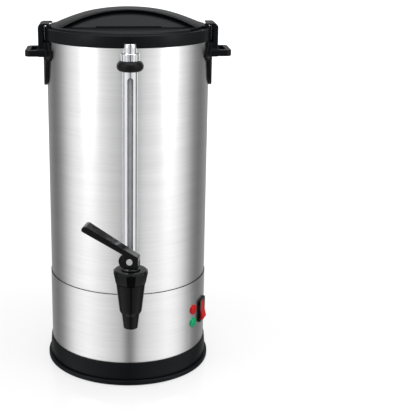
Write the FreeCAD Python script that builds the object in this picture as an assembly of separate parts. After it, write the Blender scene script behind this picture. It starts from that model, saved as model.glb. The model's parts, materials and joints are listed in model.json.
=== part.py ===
import FreeCAD, Part
import math
import os

# A double-walled coffee urn with a twist-lock lid, a lever tap and a sight gauge.
# Millimetres. +Z is up, the tap and the gauge face -Y, and the origin is the centre
# of the foot ring's underside, on the surface that the urn stands on.

V = FreeCAD.Vector
ORIGIN = V(0, 0, 0)
UP = V(0, 0, 1)
FRONT = V(0, -1, 0)
RIGHT = V(1, 0, 0)

# Sheet metal and general clearances
SHEET_T = 0.6           # outer shells
TANK_T = 0.8            # tank, base plate and inner lid plate
NEST_GAP = 0.15         # between pieces that nest in each other
MOVE_GAP = 0.3          # between pieces that move past each other
PIN_GAP = 0.05          # running clearance of a pin in its hole, on the radius
PRESS_GAP = 0.01        # screwed and pressed fits, on the radius
OVER = 1.0              # how far a cutting shape runs past the face that it cuts
WALL_REACH = 12.0       # how far a hole's cutting shape runs past a shell
ARC_MID = 1 - math.sqrt(0.5)    # a quarter arc's middle from its corner, by radius

# Shells
SHELL_R = 105.0         # outside of the upper shell
SEAM_Z = 126.8          # top edge of the lower shell
SHELL_LAP = 8.8         # how far the upper shell reaches below the seam
COLLAR_Z = 441.7        # bottom edge of the collar, where the bare steel ends

# Base
BASE_LIFT = 1.0         # plastic ring's height above the table
BASE_PROUD = 5.65       # bottom step beyond the lower shell
BASE_STEP_Z = 7.5
BASE_GROOVE_T = 0.8
BASE_GROOVE_IN = 3.5    # groove, waist and top edge behind the bottom step
BASE_WAIST_IN = 2.8
BASE_TOP_IN = 4.4
BASE_BULGE = 0.25       # swell between waist and top edge
BASE_LOW_EDGE_R = 0.9
BASE_STEP_EDGE_R = 0.8
BASE_TOP_EDGE = 0.3
BASE_TOP_Z = 31.3
BASE_SEAT_Z = 12.0      # ledge that carries the lower shell
BASE_LEDGE_W = 2.2
BASE_FLANGE_W = 13.0    # flange that the base plate clamps
BASE_FLANGE_T = 2.5
FOOT_W = 4.8            # rubber foot ring, across
FOOT_H = 3.0
FOOT_INSET = 4.4        # from the foot ring to the edge of the bottom step
VENT_COUNT = 12
VENT_W = 3.0
VENT_L = 22.0
VENT_STUD_GAP = 20.0    # from the vents' ends to the studs
VENT_START_DEG = 15.0

# Tank
WALL_SPACE = 11.0       # tank's outside from the upper shell's outside
TANK_FLOOR_RISE = 1.2   # underside of the tank above the seam
TANK_CORNER_R = 6.0
COLLAR_OVERLAP = 2.3    # how far the collar's skirt hides the top of the shell
STUD_COUNT = 3
STUD_R = 2.5
STUD_INSET = 12.0       # studs' circle inside the tank's wall
STUD_START_DEG = 30.0
NUT_FLATS = 8.0
NUT_H = 4.0

# Wall filling
BLANKET_T = 5.8
LINER_T = 1.0
FILL_END_GAP = 6.0      # clear height at both ends of the filling
BAND_Z = 36.0           # warming band above the tank floor
BAND_H = 30.0
BAND_T = 1.8

# Collar
COLLAR_PROUD = 2.0      # beyond the upper shell
COLLAR_H = 15.3
COLLAR_LIP_W = 2.6
COLLAR_LEDGE_DROP = 3.8
COLLAR_LEDGE_W = 10.6
SEAL_T = 0.8
COLLAR_EDGE_R = 1.4

# Lid
LID_RIM_GAP = 2.4       # from the collar's lip to the lid's rim
LID_RISE = 2.5          # lid shelf above the collar
LID_SKIRT_GAP = 1.1     # rim above the collar's ledge
LID_WALL = 2.5
LID_EDGE_R = 3.6
LID_CORNER = 1.4        # bevel inside the rim
CROWN_INSET = 5.0       # crown's ends behind the rim
CROWN_H = 20.7
CROWN_HALF_Y = 46.0     # at the shelf
CROWN_LEAN = 1.2        # how far the long faces lean in for each unit of height
CROWN_SLICES = 5
CROWN_TAPER = 1.6       # how much faster the hollow draws in at its ends than at its top
CROWN_LIP = 2.0
WEB_SETBACK = 7.0
LID_STRIP_HALF_X = 41.0
LID_STRIP_H = 1.2
LID_STRIP_W = 2.6
LID_STRIP_ROOT = 2.0
NOTCH_HALF_DEG = 13.3
NOTCH_TURN_DEG = 28.0
NOTCH_GAP = 0.2
PLATE_EDGE_GAP = 5.6    # from the collar's lip to the plate's edge
PLATE_BOWL_GAP = 3.3    # from the collar's bore to the plate's bowl
PLATE_CORNER = 2.0
PLATE_BOWL_DEPTH = 6.0
GASKET_W = 3.8
PIVOT_R = 4.0
PIVOT_HEAD_R = 7.0
PIVOT_HEAD_H = 2.2
BOSS_WALL = 4.0
BOSS_H = 20.0
RIB_T = 2.5
RIM_RIB_IN = 2.3        # rib that presses on the plate, behind the rim's inside
RIM_RIB_T = 2.2
RIM_RIB_ROOT = 0.2
KEEPER_FLATS = 13.0

# Handles
HANDLE_PLATE_T = 2.5
HANDLE_PLATE_DEG = 21.0
HANDLE_LUG_DEG = 24.0
HANDLE_LUG_Z0 = -21.2   # from the collar's bottom edge
HANDLE_LUG_Z1 = -10.7
HANDLE_PLATE_Z0 = -24.7
HANDLE_PLATE_Z1 = -1.2
HANDLE_LEG_T = 4.2
HANDLE_LEG_HALF0 = 31.0
HANDLE_LEG_HALF1 = 24.0
HANDLE_LEG_DROP = 60.5
COLUMN_HALF_Y = 20.0
COLUMN_OUT = 10.0       # column's outside beyond the upper shell
COLUMN_TOP_R = 5.5
COLUMN_GAP = 0.9        # slot between the column and the collar
COLUMN_SLOT_DROP = 3.0  # slot's end below the plate's top edge
COLUMN_FOOT = 1.5
HOOK_REACH = 4.1        # hook's nose over the lid's rim
HOOK_EDGE = 1.0
HOOK_STEP = 3.0
HOOK_T = 2.2
HOOK_NOSE = 9.0
GRIP_OUT = 27.0         # grip's outside beyond the upper shell
GRIP_HALF_Y = 27.0
GRIP_TOP = -12.6
GRIP_T = 8.0
GRIP_BAR = 7.0
GRIP_SIDE = 8.0
GRIP_CORNER_R = 7.0
GRIP_FILLET_R = 5.0
SHELL_SCREW_R = 2.5
SHELL_SCREW_HEAD_R = 4.4
SHELL_SCREW_HEAD_H = 2.0
SHELL_SCREW_DEPTH = 3.0
HANDLE_SCREW_DROPS = (14.7, 40.0)

# Sight gauge
GAUGE_OUT = 13.0        # axis beyond the upper shell
GLASS_R = 5.0
GLASS_BORE_R = 3.5
SHIELD_R = 9.1
SHIELD_T = 0.8
SHIELD_SLOT_W = 7.2
SHIELD_SLOT_FOOT = 6.0  # solid strip left below the slot
SHIELD_SLOT_TOP = 6.8   # solid strip left above the slot
GAUGE_RING_R = 15.1
GAUGE_RING_H = 12.2
GAUGE_RING_EDGE_R = 4.6
GAUGE_NUT_R = 11.2
GAUGE_NUT_H = 9.3
GAUGE_NUT_FLUTES = 16
GAUGE_FLUTE_R = 0.9
GAUGE_FLUTE_STOP = 1.6
GAUGE_CAP_R = 7.65
GAUGE_CAP_H = 11.2
GAUGE_SLIT = 1.2        # screwdriver slit, wide and deep
GLASS_IN_CAP = 4.0
GLASS_TOP_ROOM = 2.0
GAUGE_TOP_DROP = -7.5   # cap's top above the collar's bottom edge, downwards
GAUGE_BASE_R = 10.4
GAUGE_BASE_UP = 15.5
GAUGE_BASE_DOWN = 12.0
GAUGE_SEAL_FLOOR = 1.0  # metal left between the shank and the glass's seal
GAUGE_SEAL_T = 2.5
GAUGE_PORT_R = 1.5

# Tap
TAP_OUT = 45.0          # axis beyond the upper shell
TAP_DROP = 16.2         # shank axis above the tank's inner floor
SHANK_R = 6.5
SHANK_BORE_R = 4.0
SHANK_IN = 12.0         # reach inside the tank wall
SHANK_NUT_FLATS = 20.0
SHANK_NUT_H = 6.0
WASHER_R = 11.0
WASHER_T = 2.0
WASHER_BED = 1.0        # extra that levels the round wall
WASHER_SINK = 3.0       # how far the spacer wraps round the gauge's base
SHANK_SOCKET = 5.0
BODY_TOP_R = 18.1
BODY_LOW_R = 14.0
BODY_UP = 16.0          # top of the body above the shank axis
BODY_DOWN = 20.3        # straight part of the body below the shank axis
BODY_NOSE_H = 4.7
BODY_NOSE_R = 11.6
BODY_ARM_R = 10.5
CHAMBER_R = 12.0
CHAMBER_DOWN = 11.0
SEAT_R = 7.6
SEAT_H = 2.0
OUTLET_R = 5.6
SPOUT_R = 8.0
NOZZLE_TOP_R = 10.9
NOZZLE_LOW_R = 9.0
NOZZLE_H = 18.0
NOZZLE_SETBACK = 4.0    # spout's end above the nozzle's
NOZZLE_LIP = 1.2
NOZZLE_SHOULDER = 1.4
NOZZLE_EDGE = 0.3
NECK_R = 15.5
NECK_H = 10.0
BONNET_GAP = 0.8        # above the body
BONNET_TOP_R = 22.0
BONNET_LOW_R = 18.9
BONNET_H = 15.1
BONNET_CROWN_H = 1.6
BONNET_ROUND = 2.5
BONNET_FACETS = 12
BONNET_TURN = 15.0      # angle of the first corner
BONNET_TOP_T = 5.0
GUIDE_R = 12.0
GUIDE_H = 1.6
GUIDE_SLEEVE_R = 5.6
GUIDE_SLEEVE_DOWN = 3.0 # below the bonnet's roof
CLIP_W = 1.6
CLIP_ROOT = 0.5
CLIP_T = 1.0
STEM_R = 3.5
STEM_COLLAR_R = 8.4
STEM_COLLAR_T = 1.5
CUP_R = 9.0
CUP_H = 5.5
CUP_FLOOR = 2.0
SPRING_R = 6.9
SPRING_WIRE_R = 0.55
SPRING_GAP = 0.1
SPRING_TURNS = 7
SPRING_SIDES = 6        # corners of the spring's wire in one turn, each rounded off
SPRING_BEND_R = 6.7     # radius of those corners
PIN_RISE = 10.0         # lever pin above the guide disc
LEVER_YAW = -13.0
LEVER_PIN_R = 2.0
LEVER_PIN_HEAD_R = 3.8
LEVER_PIN_HEAD_T = 1.2
LEVER_PIN_TAIL_R = 2.8
LEVER_SWING = 40.0
LEVER_HALF = 7.5
TONGUE_T = 5.0
TONGUE_R = 5.0
TONGUE_ROOM = 0.8
CAM_R = 9.8
CAM_OFFSET = 4.0        # cam centre from the pin; sets the lift of the stem
HEEL_X = 10.5
HEEL_TOP = 6.4
HEEL_EDGE_R = 2.0
HEEL_TOP_EDGE_R = 1.5
LEVER_KNEE_X = -7.5
LEVER_KNEE_Z = 8.3
LEVER_TIP_X = -59.0
LEVER_TIP_Z = 36.3
LEVER_TIP_TOP_X = -53.0
LEVER_TIP_TOP_Z = 42.0
LEVER_TIP_BULGE_X = 4.4
LEVER_TIP_BULGE_Z = 0.6
LEVER_TIP_CORNER_R = 4.0
LEVER_TIP_SPARE = 2.0   # plan's end beyond the tip
LEVER_HEEL_HALF = 7.0
LEVER_TIP_HALF = 11.0
RECESS_LENGTH = 26.0
RECESS_R = 6.0
RECESS_TAIL_R = 2.4
RECESS_DEPTH = 1.2
RECESS_END = 11.0

# Switch and lamps on the lower shell
SWITCH_DEG = 68.7       # round from the front, towards +X
SWITCH_Z = 79.0
SWITCH_W = 23.0
SWITCH_H = 32.6
SWITCH_PROUD = 2.8
SWITCH_OPEN_W = 17.0
SWITCH_OPEN_H = 26.6
SWITCH_BODY_W = 19.6
SWITCH_BODY_H = 29.2
SWITCH_BODY_DEPTH = 22.0
SWITCH_CORNER_R = 3.0
SWITCH_BODY_CORNER_R = 2.0
SWITCH_OPEN_CORNER_R = 0.5
SWITCH_FLOOR_T = 1.6
SWITCH_PIVOT_DEPTH = 1.8
SWITCH_SWING = 26.0
ROCKER_R = 13.1
ROCKER_DIP = 2.2
ROCKER_BACK_R = 7.0
ROCKER_BACK_DEG = 148.0 # back corners from the middle of the face
ROCKER_REST_DEG = 86.0
ROCKER_ARC_DEG = 22.0
ROCKER_PIN_R = 1.0
ROCKER_PIN_L = 1.5
LAMP_DEG = 54.3
RED_LAMP_Z = 87.4
GREEN_LAMP_Z = 68.9
LAMP_R = 6.7
LAMP_PROUD = 1.5
LAMP_DOME = 2.0
LAMP_STEM_R = 5.0
LAMP_STEM_L = 6.0
LAMP_BODY_L = 14.0
LAMP_BODY_R = 4.4

# Power inlet at the back of the lower shell
INLET_Z = 58.0
INLET_W = 50.0
INLET_H = 26.0
INLET_CORNER_R = 5.0
INLET_BODY_CORNER_R = 2.0
INLET_FLANGE_IN = 4.0   # thick enough to meet the round shell at its ends
INLET_PROUD = 3.4
INLET_BODY_W = 27.0
INLET_BODY_H = 20.0
INLET_DEPTH = 20.0
INLET_SOCKET_W = 24.0
INLET_SOCKET_H = 16.5
INLET_SOCKET_DEPTH = 16.0
INLET_SOCKET_CUT = 4.5  # cut-off corners of the socket
INLET_PIN_W = 2.0
INLET_PIN_H = 4.0
INLET_PIN_L = 12.0
INLET_PIN_PITCH = 7.0
INLET_PIN_STEP = 4.0
INLET_SCREW_X = 20.0
INLET_SCREW_R = 1.6
INLET_SCREW_HEAD_R = 3.0
INLET_SCREW_HEAD_H = 1.6
INLET_SCREW_L = 8.0
CROSS_HALF_L = 2.0
CROSS_HALF_W = 0.4
CROSS_DEPTH = 0.7
TAB_L = 8.0
TAB_W = 6.3
TAB_T = 0.8
TAB_PITCH = 9.0

# Heater and its controls under the tank
HEAT_STUD_GAP = 12.0    # plate's edge inside the studs' circle
HEAT_PLATE_T = 3.0
COIL_INSET = 20.0       # coil inside the plate's edge
COIL_TUBE_R = 4.0
COIL_GAP_HALF = 7.0
LEAD_R = 2.2
LEAD_L = 16.0
LEAD_Y = 10.0
THERMO_R = 9.0
THERMO_FLANGE_R = 11.0
THERMO_H = 12.0
THERMO_X = 24.0
THERMO_FLANGE_T = 2.0
CUTOUT_W = 12.0
CUTOUT_L = 22.0
CUTOUT_H = 8.0
CUTOUT_Y = -28.0
CLAMP_W = 10.0
CLAMP_T = 1.5
CLAMP_L = 22.0
CLAMP_REACH = 8.0       # foot beyond the coil
CLAMP_COUNT = 3
CLAMP_START_DEG = 90.0
BLOCK_L = 46.0
BLOCK_W = 18.0
BLOCK_H = 16.0
BLOCK_Y = 40.0
WELL_R = 2.0
WELL_DEPTH = 6.0
WELL_PITCH = 9.0
WELL_ROW = 4.5
WIRE_R = 1.3
WIRE_BEND_R = 5.0
WIRE_GAP = 1.0          # between a wire's end and its tab
WIRE_IN_WELL = 4.0
WIRE_OUT = 9.0          # straight run out of the inlet
INLET_WIRE_FALL = 4.0
SWITCH_WIRE_SHARE = 0.8 # straight run ends at this share of the tabs' radius
SWITCH_WIRE_FALL = 20.0
LEAD_WIRE_FALL = 40.0
LEAD_WIRE_END = 60.0

# Coffee basket on its pump tube
PUMP_R = 6.0
PUMP_BORE_R = 4.8
PUMP_FOOT_R = 24.0
PUMP_FOOT_H = 14.0
PUMP_FOOT_T = 1.2
PUMP_NECK_H = 2.0
SLIT_COUNT = 6
SLIT_L = 5.0
SLIT_W = 2.4
SLIT_H = 1.4
PUMP_TOP_DROP = 42.0    # top of the tube below the shell's top
BASKET_ROOM = 31.2      # between the basket and the tank
BASKET_RIM_W = 3.0
BASKET_H = 58.0
BASKET_T = 0.8
BASKET_RISE = 195.0     # basket's floor above the tank's floor
BASKET_SLEEVE_R = 7.0
BASKET_SLEEVE_DROP = 4.0
BASKET_HOLE_R = 1.5
BASKET_HOLE_PITCH = 10.0
BASKET_ROWS = 4
SHOULDER_R = 8.6
SHOULDER_H = 3.0
SPREADER_RIM = 3.0
SPREADER_DIP = 2.0
SPREADER_STEP = 4.0
SPREADER_HOLE_PITCH = 12.0
SPREADER_ROWS = 3

# Heights and radii that follow from the sizes above
LOWER_R = SHELL_R + NEST_GAP + SHEET_T
BASE_R = LOWER_R + BASE_PROUD
BASE_GROOVE_R = BASE_R - BASE_GROOVE_IN
BASE_WAIST_R = BASE_R - BASE_WAIST_IN
BASE_TOP_R = BASE_R - BASE_TOP_IN
TANK_R = SHELL_R - WALL_SPACE
STUD_CIRCLE_R = TANK_R - STUD_INSET
COLLAR_R = SHELL_R + COLLAR_PROUD
COLUMN_X = SHELL_R + COLUMN_OUT
GRIP_X = SHELL_R + GRIP_OUT
GAUGE_Y = -SHELL_R - GAUGE_OUT
TAP_Y = -SHELL_R - TAP_OUT
SHELL_TOP_Z = COLLAR_Z + COLLAR_OVERLAP
TANK_Z = SEAM_Z + TANK_FLOOR_RISE
TANK_FLOOR_Z = TANK_Z + TANK_T
TANK_IN_R = TANK_R - TANK_T
RIM_TOP_Z = SHELL_TOP_Z + TANK_T
COLLAR_TOP_Z = COLLAR_Z + COLLAR_H
LEDGE_Z = COLLAR_TOP_Z - COLLAR_LEDGE_DROP
LEDGE_R = COLLAR_R - COLLAR_LIP_W
COLLAR_BORE_R = LEDGE_R - COLLAR_LEDGE_W
LID_R = LEDGE_R - LID_RIM_GAP
CROWN_R = LID_R - CROWN_INSET
HOOK_X = LID_R - HOOK_REACH
PLATE_EDGE_R = LEDGE_R - PLATE_EDGE_GAP
PLATE_BOWL_R = COLLAR_BORE_R - PLATE_BOWL_GAP
SHELF_Z = COLLAR_TOP_Z + LID_RISE
LID_BOTTOM_Z = LEDGE_Z + LID_SKIRT_GAP
SHANK_Z = TANK_FLOOR_Z + TAP_DROP
BODY_TOP_Z = SHANK_Z + BODY_UP
BODY_LOW_Z = SHANK_Z - BODY_DOWN
NOSE_Z = BODY_LOW_Z - BODY_NOSE_H
BONNET_Z = BODY_TOP_Z + BONNET_GAP
BONNET_TOP_Z = BONNET_Z + BONNET_H + BONNET_CROWN_H
CHAMBER_Z = SHANK_Z - CHAMBER_DOWN
SEAT_Z = CHAMBER_Z + SEAT_H
GUIDE_Z = BONNET_TOP_Z + NEST_GAP
GUIDE_TOP_Z = GUIDE_Z + GUIDE_H
PIN_Z = GUIDE_TOP_Z + PIN_RISE
GAUGE_CAP_TOP = COLLAR_Z - GAUGE_TOP_DROP
GAUGE_CAP_Z = GAUGE_CAP_TOP - GAUGE_CAP_H
GAUGE_NUT_Z = GAUGE_CAP_Z - GAUGE_NUT_H
GAUGE_RING_Z = GAUGE_NUT_Z - GAUGE_RING_H
GAUGE_BASE_TOP = SHANK_Z + GAUGE_BASE_UP
BASE_PLATE_Z = BASE_SEAT_Z - BASE_FLANGE_T - BASE_FLANGE_T - TANK_T
BASE_IN_R = LOWER_R - SHEET_T - BASE_LEDGE_W
BASKET_Z = TANK_FLOOR_Z + BASKET_RISE
PUMP_TOP_Z = SHELL_TOP_Z - PUMP_TOP_DROP
HEAT_PLATE_R = STUD_CIRCLE_R - HEAT_STUD_GAP
COIL_R = HEAT_PLATE_R - COIL_INSET
BASKET_R = TANK_IN_R - BASKET_ROOM
HEAT_Z = TANK_Z - HEAT_PLATE_T
COIL_Z = HEAT_Z - COIL_TUBE_R


def cylinder(start, direction, radius, length):
    return Part.makeCylinder(radius, length, start, direction)


def disc(radius, z0, z1, x=0.0, y=0.0):
    return cylinder(V(x, y, z0), UP, radius, z1 - z0)


def ring(inner, outer, z0, z1, x=0.0, y=0.0):
    return disc(outer, z0, z1, x, y).cut(disc(inner, z0 - OVER, z1 + OVER, x, y))


def block(x0, x1, y0, y1, z0, z1):
    return Part.makeBox(x1 - x0, y1 - y0, z1 - z0, V(x0, y0, z0))


def outline(steps, place):
    """Closed face from points; a step of four numbers is an arc by its middle and end."""
    edges = []
    here = place(*steps[0])
    for step in steps[1:] + [steps[0]]:
        target = place(*step[-2:])
        if len(step) == 4:
            edges.append(Part.Arc(here, place(*step[:2]), target).toShape())
        elif here.distanceToPoint(target) > 1e-6:
            edges.append(Part.LineSegment(here, target).toShape())
        here = target
    return Part.Face(Part.Wire(edges))


def in_xz(x, z):
    return V(x, 0, z)


def turned(steps, x=0.0, y=0.0):
    """Solid of revolution about Z of an outline of radius and height."""
    solid = outline(steps, in_xz).revolve(ORIGIN, UP, 360)
    return solid.translated(V(x, y, 0))


def along_y(steps, y0, y1):
    """Outline in X and Z, pulled from y0 to y1."""
    face = outline(steps, in_xz).translated(V(0, y0, 0))
    return face.extrude(V(0, y1 - y0, 0))


def rounded_plate(half_x, half_y, corner, z0, z1):
    """Plate with round corners, lying flat on z0."""
    diag = corner * ARC_MID
    steps = [(half_x - corner, -half_y)]
    for sx, sy in ((1, -1), (1, 1), (-1, 1), (-1, -1)):
        if sx * sy < 0:
            first = (sx * (half_x - corner), sy * half_y)
            last = (sx * half_x, sy * (half_y - corner))
        else:
            first = (sx * half_x, sy * (half_y - corner))
            last = (sx * (half_x - corner), sy * half_y)
        steps.append(first)
        steps.append((sx * (half_x - diag), sy * (half_y - diag)) + last)
    face = outline(steps, lambda x, y: V(x, y, z0))
    return face.extrude(V(0, 0, z1 - z0))


def hex_prism(flats, z0, z1, x=0.0, y=0.0):
    reach = flats / math.sqrt(3)
    corners = [V(x + reach * math.cos(math.radians(60 * i)),
                 y + reach * math.sin(math.radians(60 * i)), z0) for i in range(6)]
    face = Part.Face(Part.makePolygon(corners + corners[:1]))
    return face.extrude(V(0, 0, z1 - z0))


def round_about(shape, degrees):
    return shape.rotated(ORIGIN, UP, degrees)


def polar_copies(shape, count, start=0.0):
    return [round_about(shape, start + i * 360.0 / count) for i in range(count)]


def fused(shapes):
    return shapes[0].multiFuse(shapes[1:]) if len(shapes) > 1 else shapes[0]


def on_front(shape):
    """Turns a piece built standing on Z=0 so that it points out of the front of the urn."""
    return shape.rotated(ORIGIN, RIGHT, 90)


def on_wall(shape, degrees, radius, height):
    """Puts a piece built standing on Z=0 on a wall of this radius, at this angle and height."""
    return round_about(on_front(shape).translated(V(0, -radius, height)), degrees)


def wall_hole(radius, degrees, height):
    return on_wall(disc(radius, -2 * WALL_REACH, WALL_REACH), degrees, SHELL_R, height)


def wire_run(points, bend, radius):
    """Round wire along straight runs joined by tangent arcs."""
    points = [V(*p) for p in points]
    here = points[0]
    section = Part.Wire(Part.Circle(here, points[1] - here, radius).toShape())
    faces = [Part.Face(section)]
    for before, corner, after in zip(points, points[1:], points[2:]):
        came = (corner - before).normalize()
        goes = (after - corner).normalize()
        axis = came.cross(goes)
        half = came.getAngle(goes) / 2
        start = corner - came * bend * math.tan(half)
        centre = corner + (goes - came).normalize() * (bend / math.cos(half))
        faces += section.extrude(start - here).Faces
        section = section.translated(start - here)
        faces += section.revolve(centre, axis, math.degrees(2 * half)).Faces
        section = section.rotated(centre, axis, math.degrees(2 * half))
        here = corner + goes * bend * math.tan(half)
    faces += section.extrude(points[-1] - here).Faces
    faces.append(Part.Face(section.translated(points[-1] - here)))
    shell = Part.makeShell(faces)
    shell.sewShape()
    return Part.makeSolid(shell)


def make_base():
    foot_r1 = BASE_R - FOOT_INSET
    foot_r0 = foot_r1 - FOOT_W
    socket_r = LOWER_R + NEST_GAP
    flange_r = BASE_IN_R - BASE_FLANGE_W
    flange_z = BASE_SEAT_Z - 2 * BASE_FLANGE_T
    groove_top = BASE_STEP_Z + BASE_GROOVE_T
    bulge_r = (BASE_WAIST_R + BASE_TOP_R) / 2 + BASE_BULGE
    low_r, step_r = BASE_LOW_EDGE_R, BASE_STEP_EDGE_R
    base_ring = turned([
        (BASE_IN_R, BASE_LIFT), (foot_r0, BASE_LIFT), (foot_r0, FOOT_H), (foot_r1, FOOT_H),
        (foot_r1, BASE_LIFT), (BASE_R - low_r, BASE_LIFT),
        (BASE_R - ARC_MID * low_r, BASE_LIFT + ARC_MID * low_r, BASE_R, BASE_LIFT + low_r),
        (BASE_R, BASE_STEP_Z - step_r),
        (BASE_R - ARC_MID * step_r, BASE_STEP_Z - ARC_MID * step_r, BASE_R - step_r, BASE_STEP_Z),
        (BASE_GROOVE_R, BASE_STEP_Z), (BASE_GROOVE_R, groove_top), (BASE_WAIST_R, groove_top),
        (bulge_r, (groove_top + BASE_TOP_Z) / 2, BASE_TOP_R, BASE_TOP_Z - BASE_TOP_EDGE),
        (BASE_TOP_R - BASE_TOP_EDGE, BASE_TOP_Z), (socket_r, BASE_TOP_Z), (socket_r, BASE_SEAT_Z),
        (BASE_IN_R, BASE_SEAT_Z), (BASE_IN_R, flange_z + BASE_FLANGE_T),
        (flange_r, flange_z + BASE_FLANGE_T), (flange_r, flange_z), (BASE_IN_R, flange_z)])
    foot_ring = ring(foot_r0 + NEST_GAP, foot_r1 - NEST_GAP, 0, FOOT_H)

    plate = disc(BASE_IN_R - NEST_GAP, BASE_PLATE_Z, flange_z)
    vent_end = STUD_CIRCLE_R - VENT_STUD_GAP
    vent = block(vent_end - VENT_L, vent_end, -VENT_W / 2, VENT_W / 2,
                 BASE_PLATE_Z - OVER, flange_z + OVER)
    hole = disc(STUD_R + PIN_GAP, BASE_PLATE_Z - NUT_H - OVER, flange_z + OVER, STUD_CIRCLE_R)
    cuts = polar_copies(vent, VENT_COUNT, VENT_START_DEG)
    cuts += polar_copies(hole, STUD_COUNT, STUD_START_DEG)
    base_plate = plate.cut(fused(cuts))

    stud = disc(STUD_R, BASE_PLATE_Z - NUT_H, TANK_Z, STUD_CIRCLE_R)
    nut = hex_prism(NUT_FLATS, BASE_PLATE_Z - NUT_H, BASE_PLATE_Z, STUD_CIRCLE_R)
    nut = nut.cut(hole)
    return {"base_ring": [base_ring], "foot_ring": [foot_ring], "base_plate": [base_plate],
            "tank_studs": polar_copies(stud, STUD_COUNT, STUD_START_DEG),
            "tank_stud_nuts": polar_copies(nut, STUD_COUNT, STUD_START_DEG)}


def shell_screw_axes():
    """Angle and height of each screw that goes out through the shell into a handle or the gauge."""
    axes = [(side, COLLAR_Z - drop) for side in (90.0, 270.0) for drop in HANDLE_SCREW_DROPS]
    return axes + [(0.0, GAUGE_RING_Z + GAUGE_RING_H / 2)]


def make_shells():
    lower = ring(LOWER_R - SHEET_T, LOWER_R, BASE_SEAT_Z, SEAM_Z)
    switch_cut = rounded_plate(SWITCH_BODY_W / 2 + NEST_GAP, SWITCH_BODY_H / 2 + NEST_GAP,
                               SWITCH_BODY_CORNER_R, -WALL_REACH, WALL_REACH)
    inlet_cut = rounded_plate(INLET_BODY_W / 2 + NEST_GAP, INLET_BODY_H / 2 + NEST_GAP,
                              INLET_BODY_CORNER_R, -WALL_REACH, WALL_REACH)
    cuts = [on_wall(switch_cut, SWITCH_DEG, LOWER_R, SWITCH_Z),
            on_wall(inlet_cut, 180.0, LOWER_R, INLET_Z),
            wall_hole(LAMP_STEM_R + NEST_GAP, LAMP_DEG, RED_LAMP_Z),
            wall_hole(LAMP_STEM_R + NEST_GAP, LAMP_DEG, GREEN_LAMP_Z)]
    for x in (-INLET_SCREW_X, INLET_SCREW_X):
        hole = disc(INLET_SCREW_R + PIN_GAP, -WALL_REACH, WALL_REACH, x)
        cuts.append(on_wall(hole, 180.0, LOWER_R, INLET_Z))
    lower_shell = lower.cut(fused(cuts))

    upper = ring(SHELL_R - SHEET_T, SHELL_R, SEAM_Z - SHELL_LAP, SHELL_TOP_Z)
    cuts = [wall_hole(SHANK_R + PIN_GAP, 0.0, SHANK_Z)]
    for side, height in shell_screw_axes():
        cuts.append(wall_hole(SHELL_SCREW_R + PIN_GAP, side, height))
    upper_shell = upper.cut(fused(cuts))
    return {"lower_shell": [lower_shell], "upper_shell": [upper_shell]}


def make_tank():
    out_corner = TANK_CORNER_R + TANK_T
    tank = turned([
        (0, TANK_Z), (TANK_R - out_corner, TANK_Z),
        (TANK_R - ARC_MID * out_corner, TANK_Z + ARC_MID * out_corner, TANK_R, TANK_Z + out_corner),
        (TANK_R, SHELL_TOP_Z), (SHELL_R, SHELL_TOP_Z), (SHELL_R, RIM_TOP_Z), (TANK_IN_R, RIM_TOP_Z),
        (TANK_IN_R, TANK_FLOOR_Z + TANK_CORNER_R),
        (TANK_IN_R - ARC_MID * TANK_CORNER_R, TANK_FLOOR_Z + ARC_MID * TANK_CORNER_R,
         TANK_IN_R - TANK_CORNER_R, TANK_FLOOR_Z), (0, TANK_FLOOR_Z)])
    tank = tank.cut(wall_hole(SHANK_R + PIN_GAP, 0.0, SHANK_Z))

    fill_z0 = TANK_FLOOR_Z + FILL_END_GAP
    fill_z1 = SHELL_TOP_Z - FILL_END_GAP
    band_z = TANK_FLOOR_Z + BAND_Z
    blanket_r0 = TANK_R + NEST_GAP
    blanket_r1 = blanket_r0 + BLANKET_T
    cream_r0 = blanket_r1 + NEST_GAP
    grey_r0 = cream_r0 + LINER_T + NEST_GAP
    relief = [wall_hole(SHELL_SCREW_HEAD_R + MOVE_GAP, side, z) for side, z in shell_screw_axes()]
    relief.append(wall_hole(WASHER_R + MOVE_GAP, 0.0, SHANK_Z))
    relief = fused(relief)
    band_room = ring(TANK_R - OVER, TANK_R + BAND_T + 2 * NEST_GAP,
                     band_z - MOVE_GAP, band_z + BAND_H + MOVE_GAP)
    blanket = ring(blanket_r0, blanket_r1, fill_z0, fill_z1).cut(relief).cut(band_room)
    cream = ring(cream_r0, cream_r0 + LINER_T, fill_z0, fill_z1).cut(relief)
    grey = ring(grey_r0, grey_r0 + LINER_T, fill_z0, fill_z1).cut(relief)
    band = ring(TANK_R + NEST_GAP, TANK_R + BAND_T, band_z, band_z + BAND_H)
    return {"inner_tank": [tank], "insulation_blanket": [blanket], "cream_liner": [cream],
            "grey_liner": [grey], "warming_band": [band]}


def make_collar():
    bore_r = COLLAR_BORE_R
    lift = RIM_TOP_Z + SEAL_T
    skirt_r = SHELL_R + NEST_GAP
    collar = turned([
        (skirt_r, COLLAR_Z), (COLLAR_R, COLLAR_Z), (COLLAR_R, COLLAR_TOP_Z - COLLAR_EDGE_R),
        (COLLAR_R - ARC_MID * COLLAR_EDGE_R, COLLAR_TOP_Z - ARC_MID * COLLAR_EDGE_R,
         COLLAR_R - COLLAR_EDGE_R, COLLAR_TOP_Z),
        (LEDGE_R, COLLAR_TOP_Z), (LEDGE_R, LEDGE_Z), (bore_r, LEDGE_Z), (bore_r, lift),
        (skirt_r, lift)])
    seal = ring(bore_r, SHELL_R - MOVE_GAP, RIM_TOP_Z, lift)
    return {"top_collar": [collar], "collar_seal": [seal]}


def crown_section(half_width, height, y):
    """Closed wire of one arched slice of the lid's crown."""
    left, right = V(-half_width, y, SHELF_Z), V(half_width, y, SHELF_Z)
    arc = Part.Arc(left, V(0, y, SHELF_Z + height), right).toShape()
    return Part.Wire([arc, Part.LineSegment(right, left).toShape()])


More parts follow.
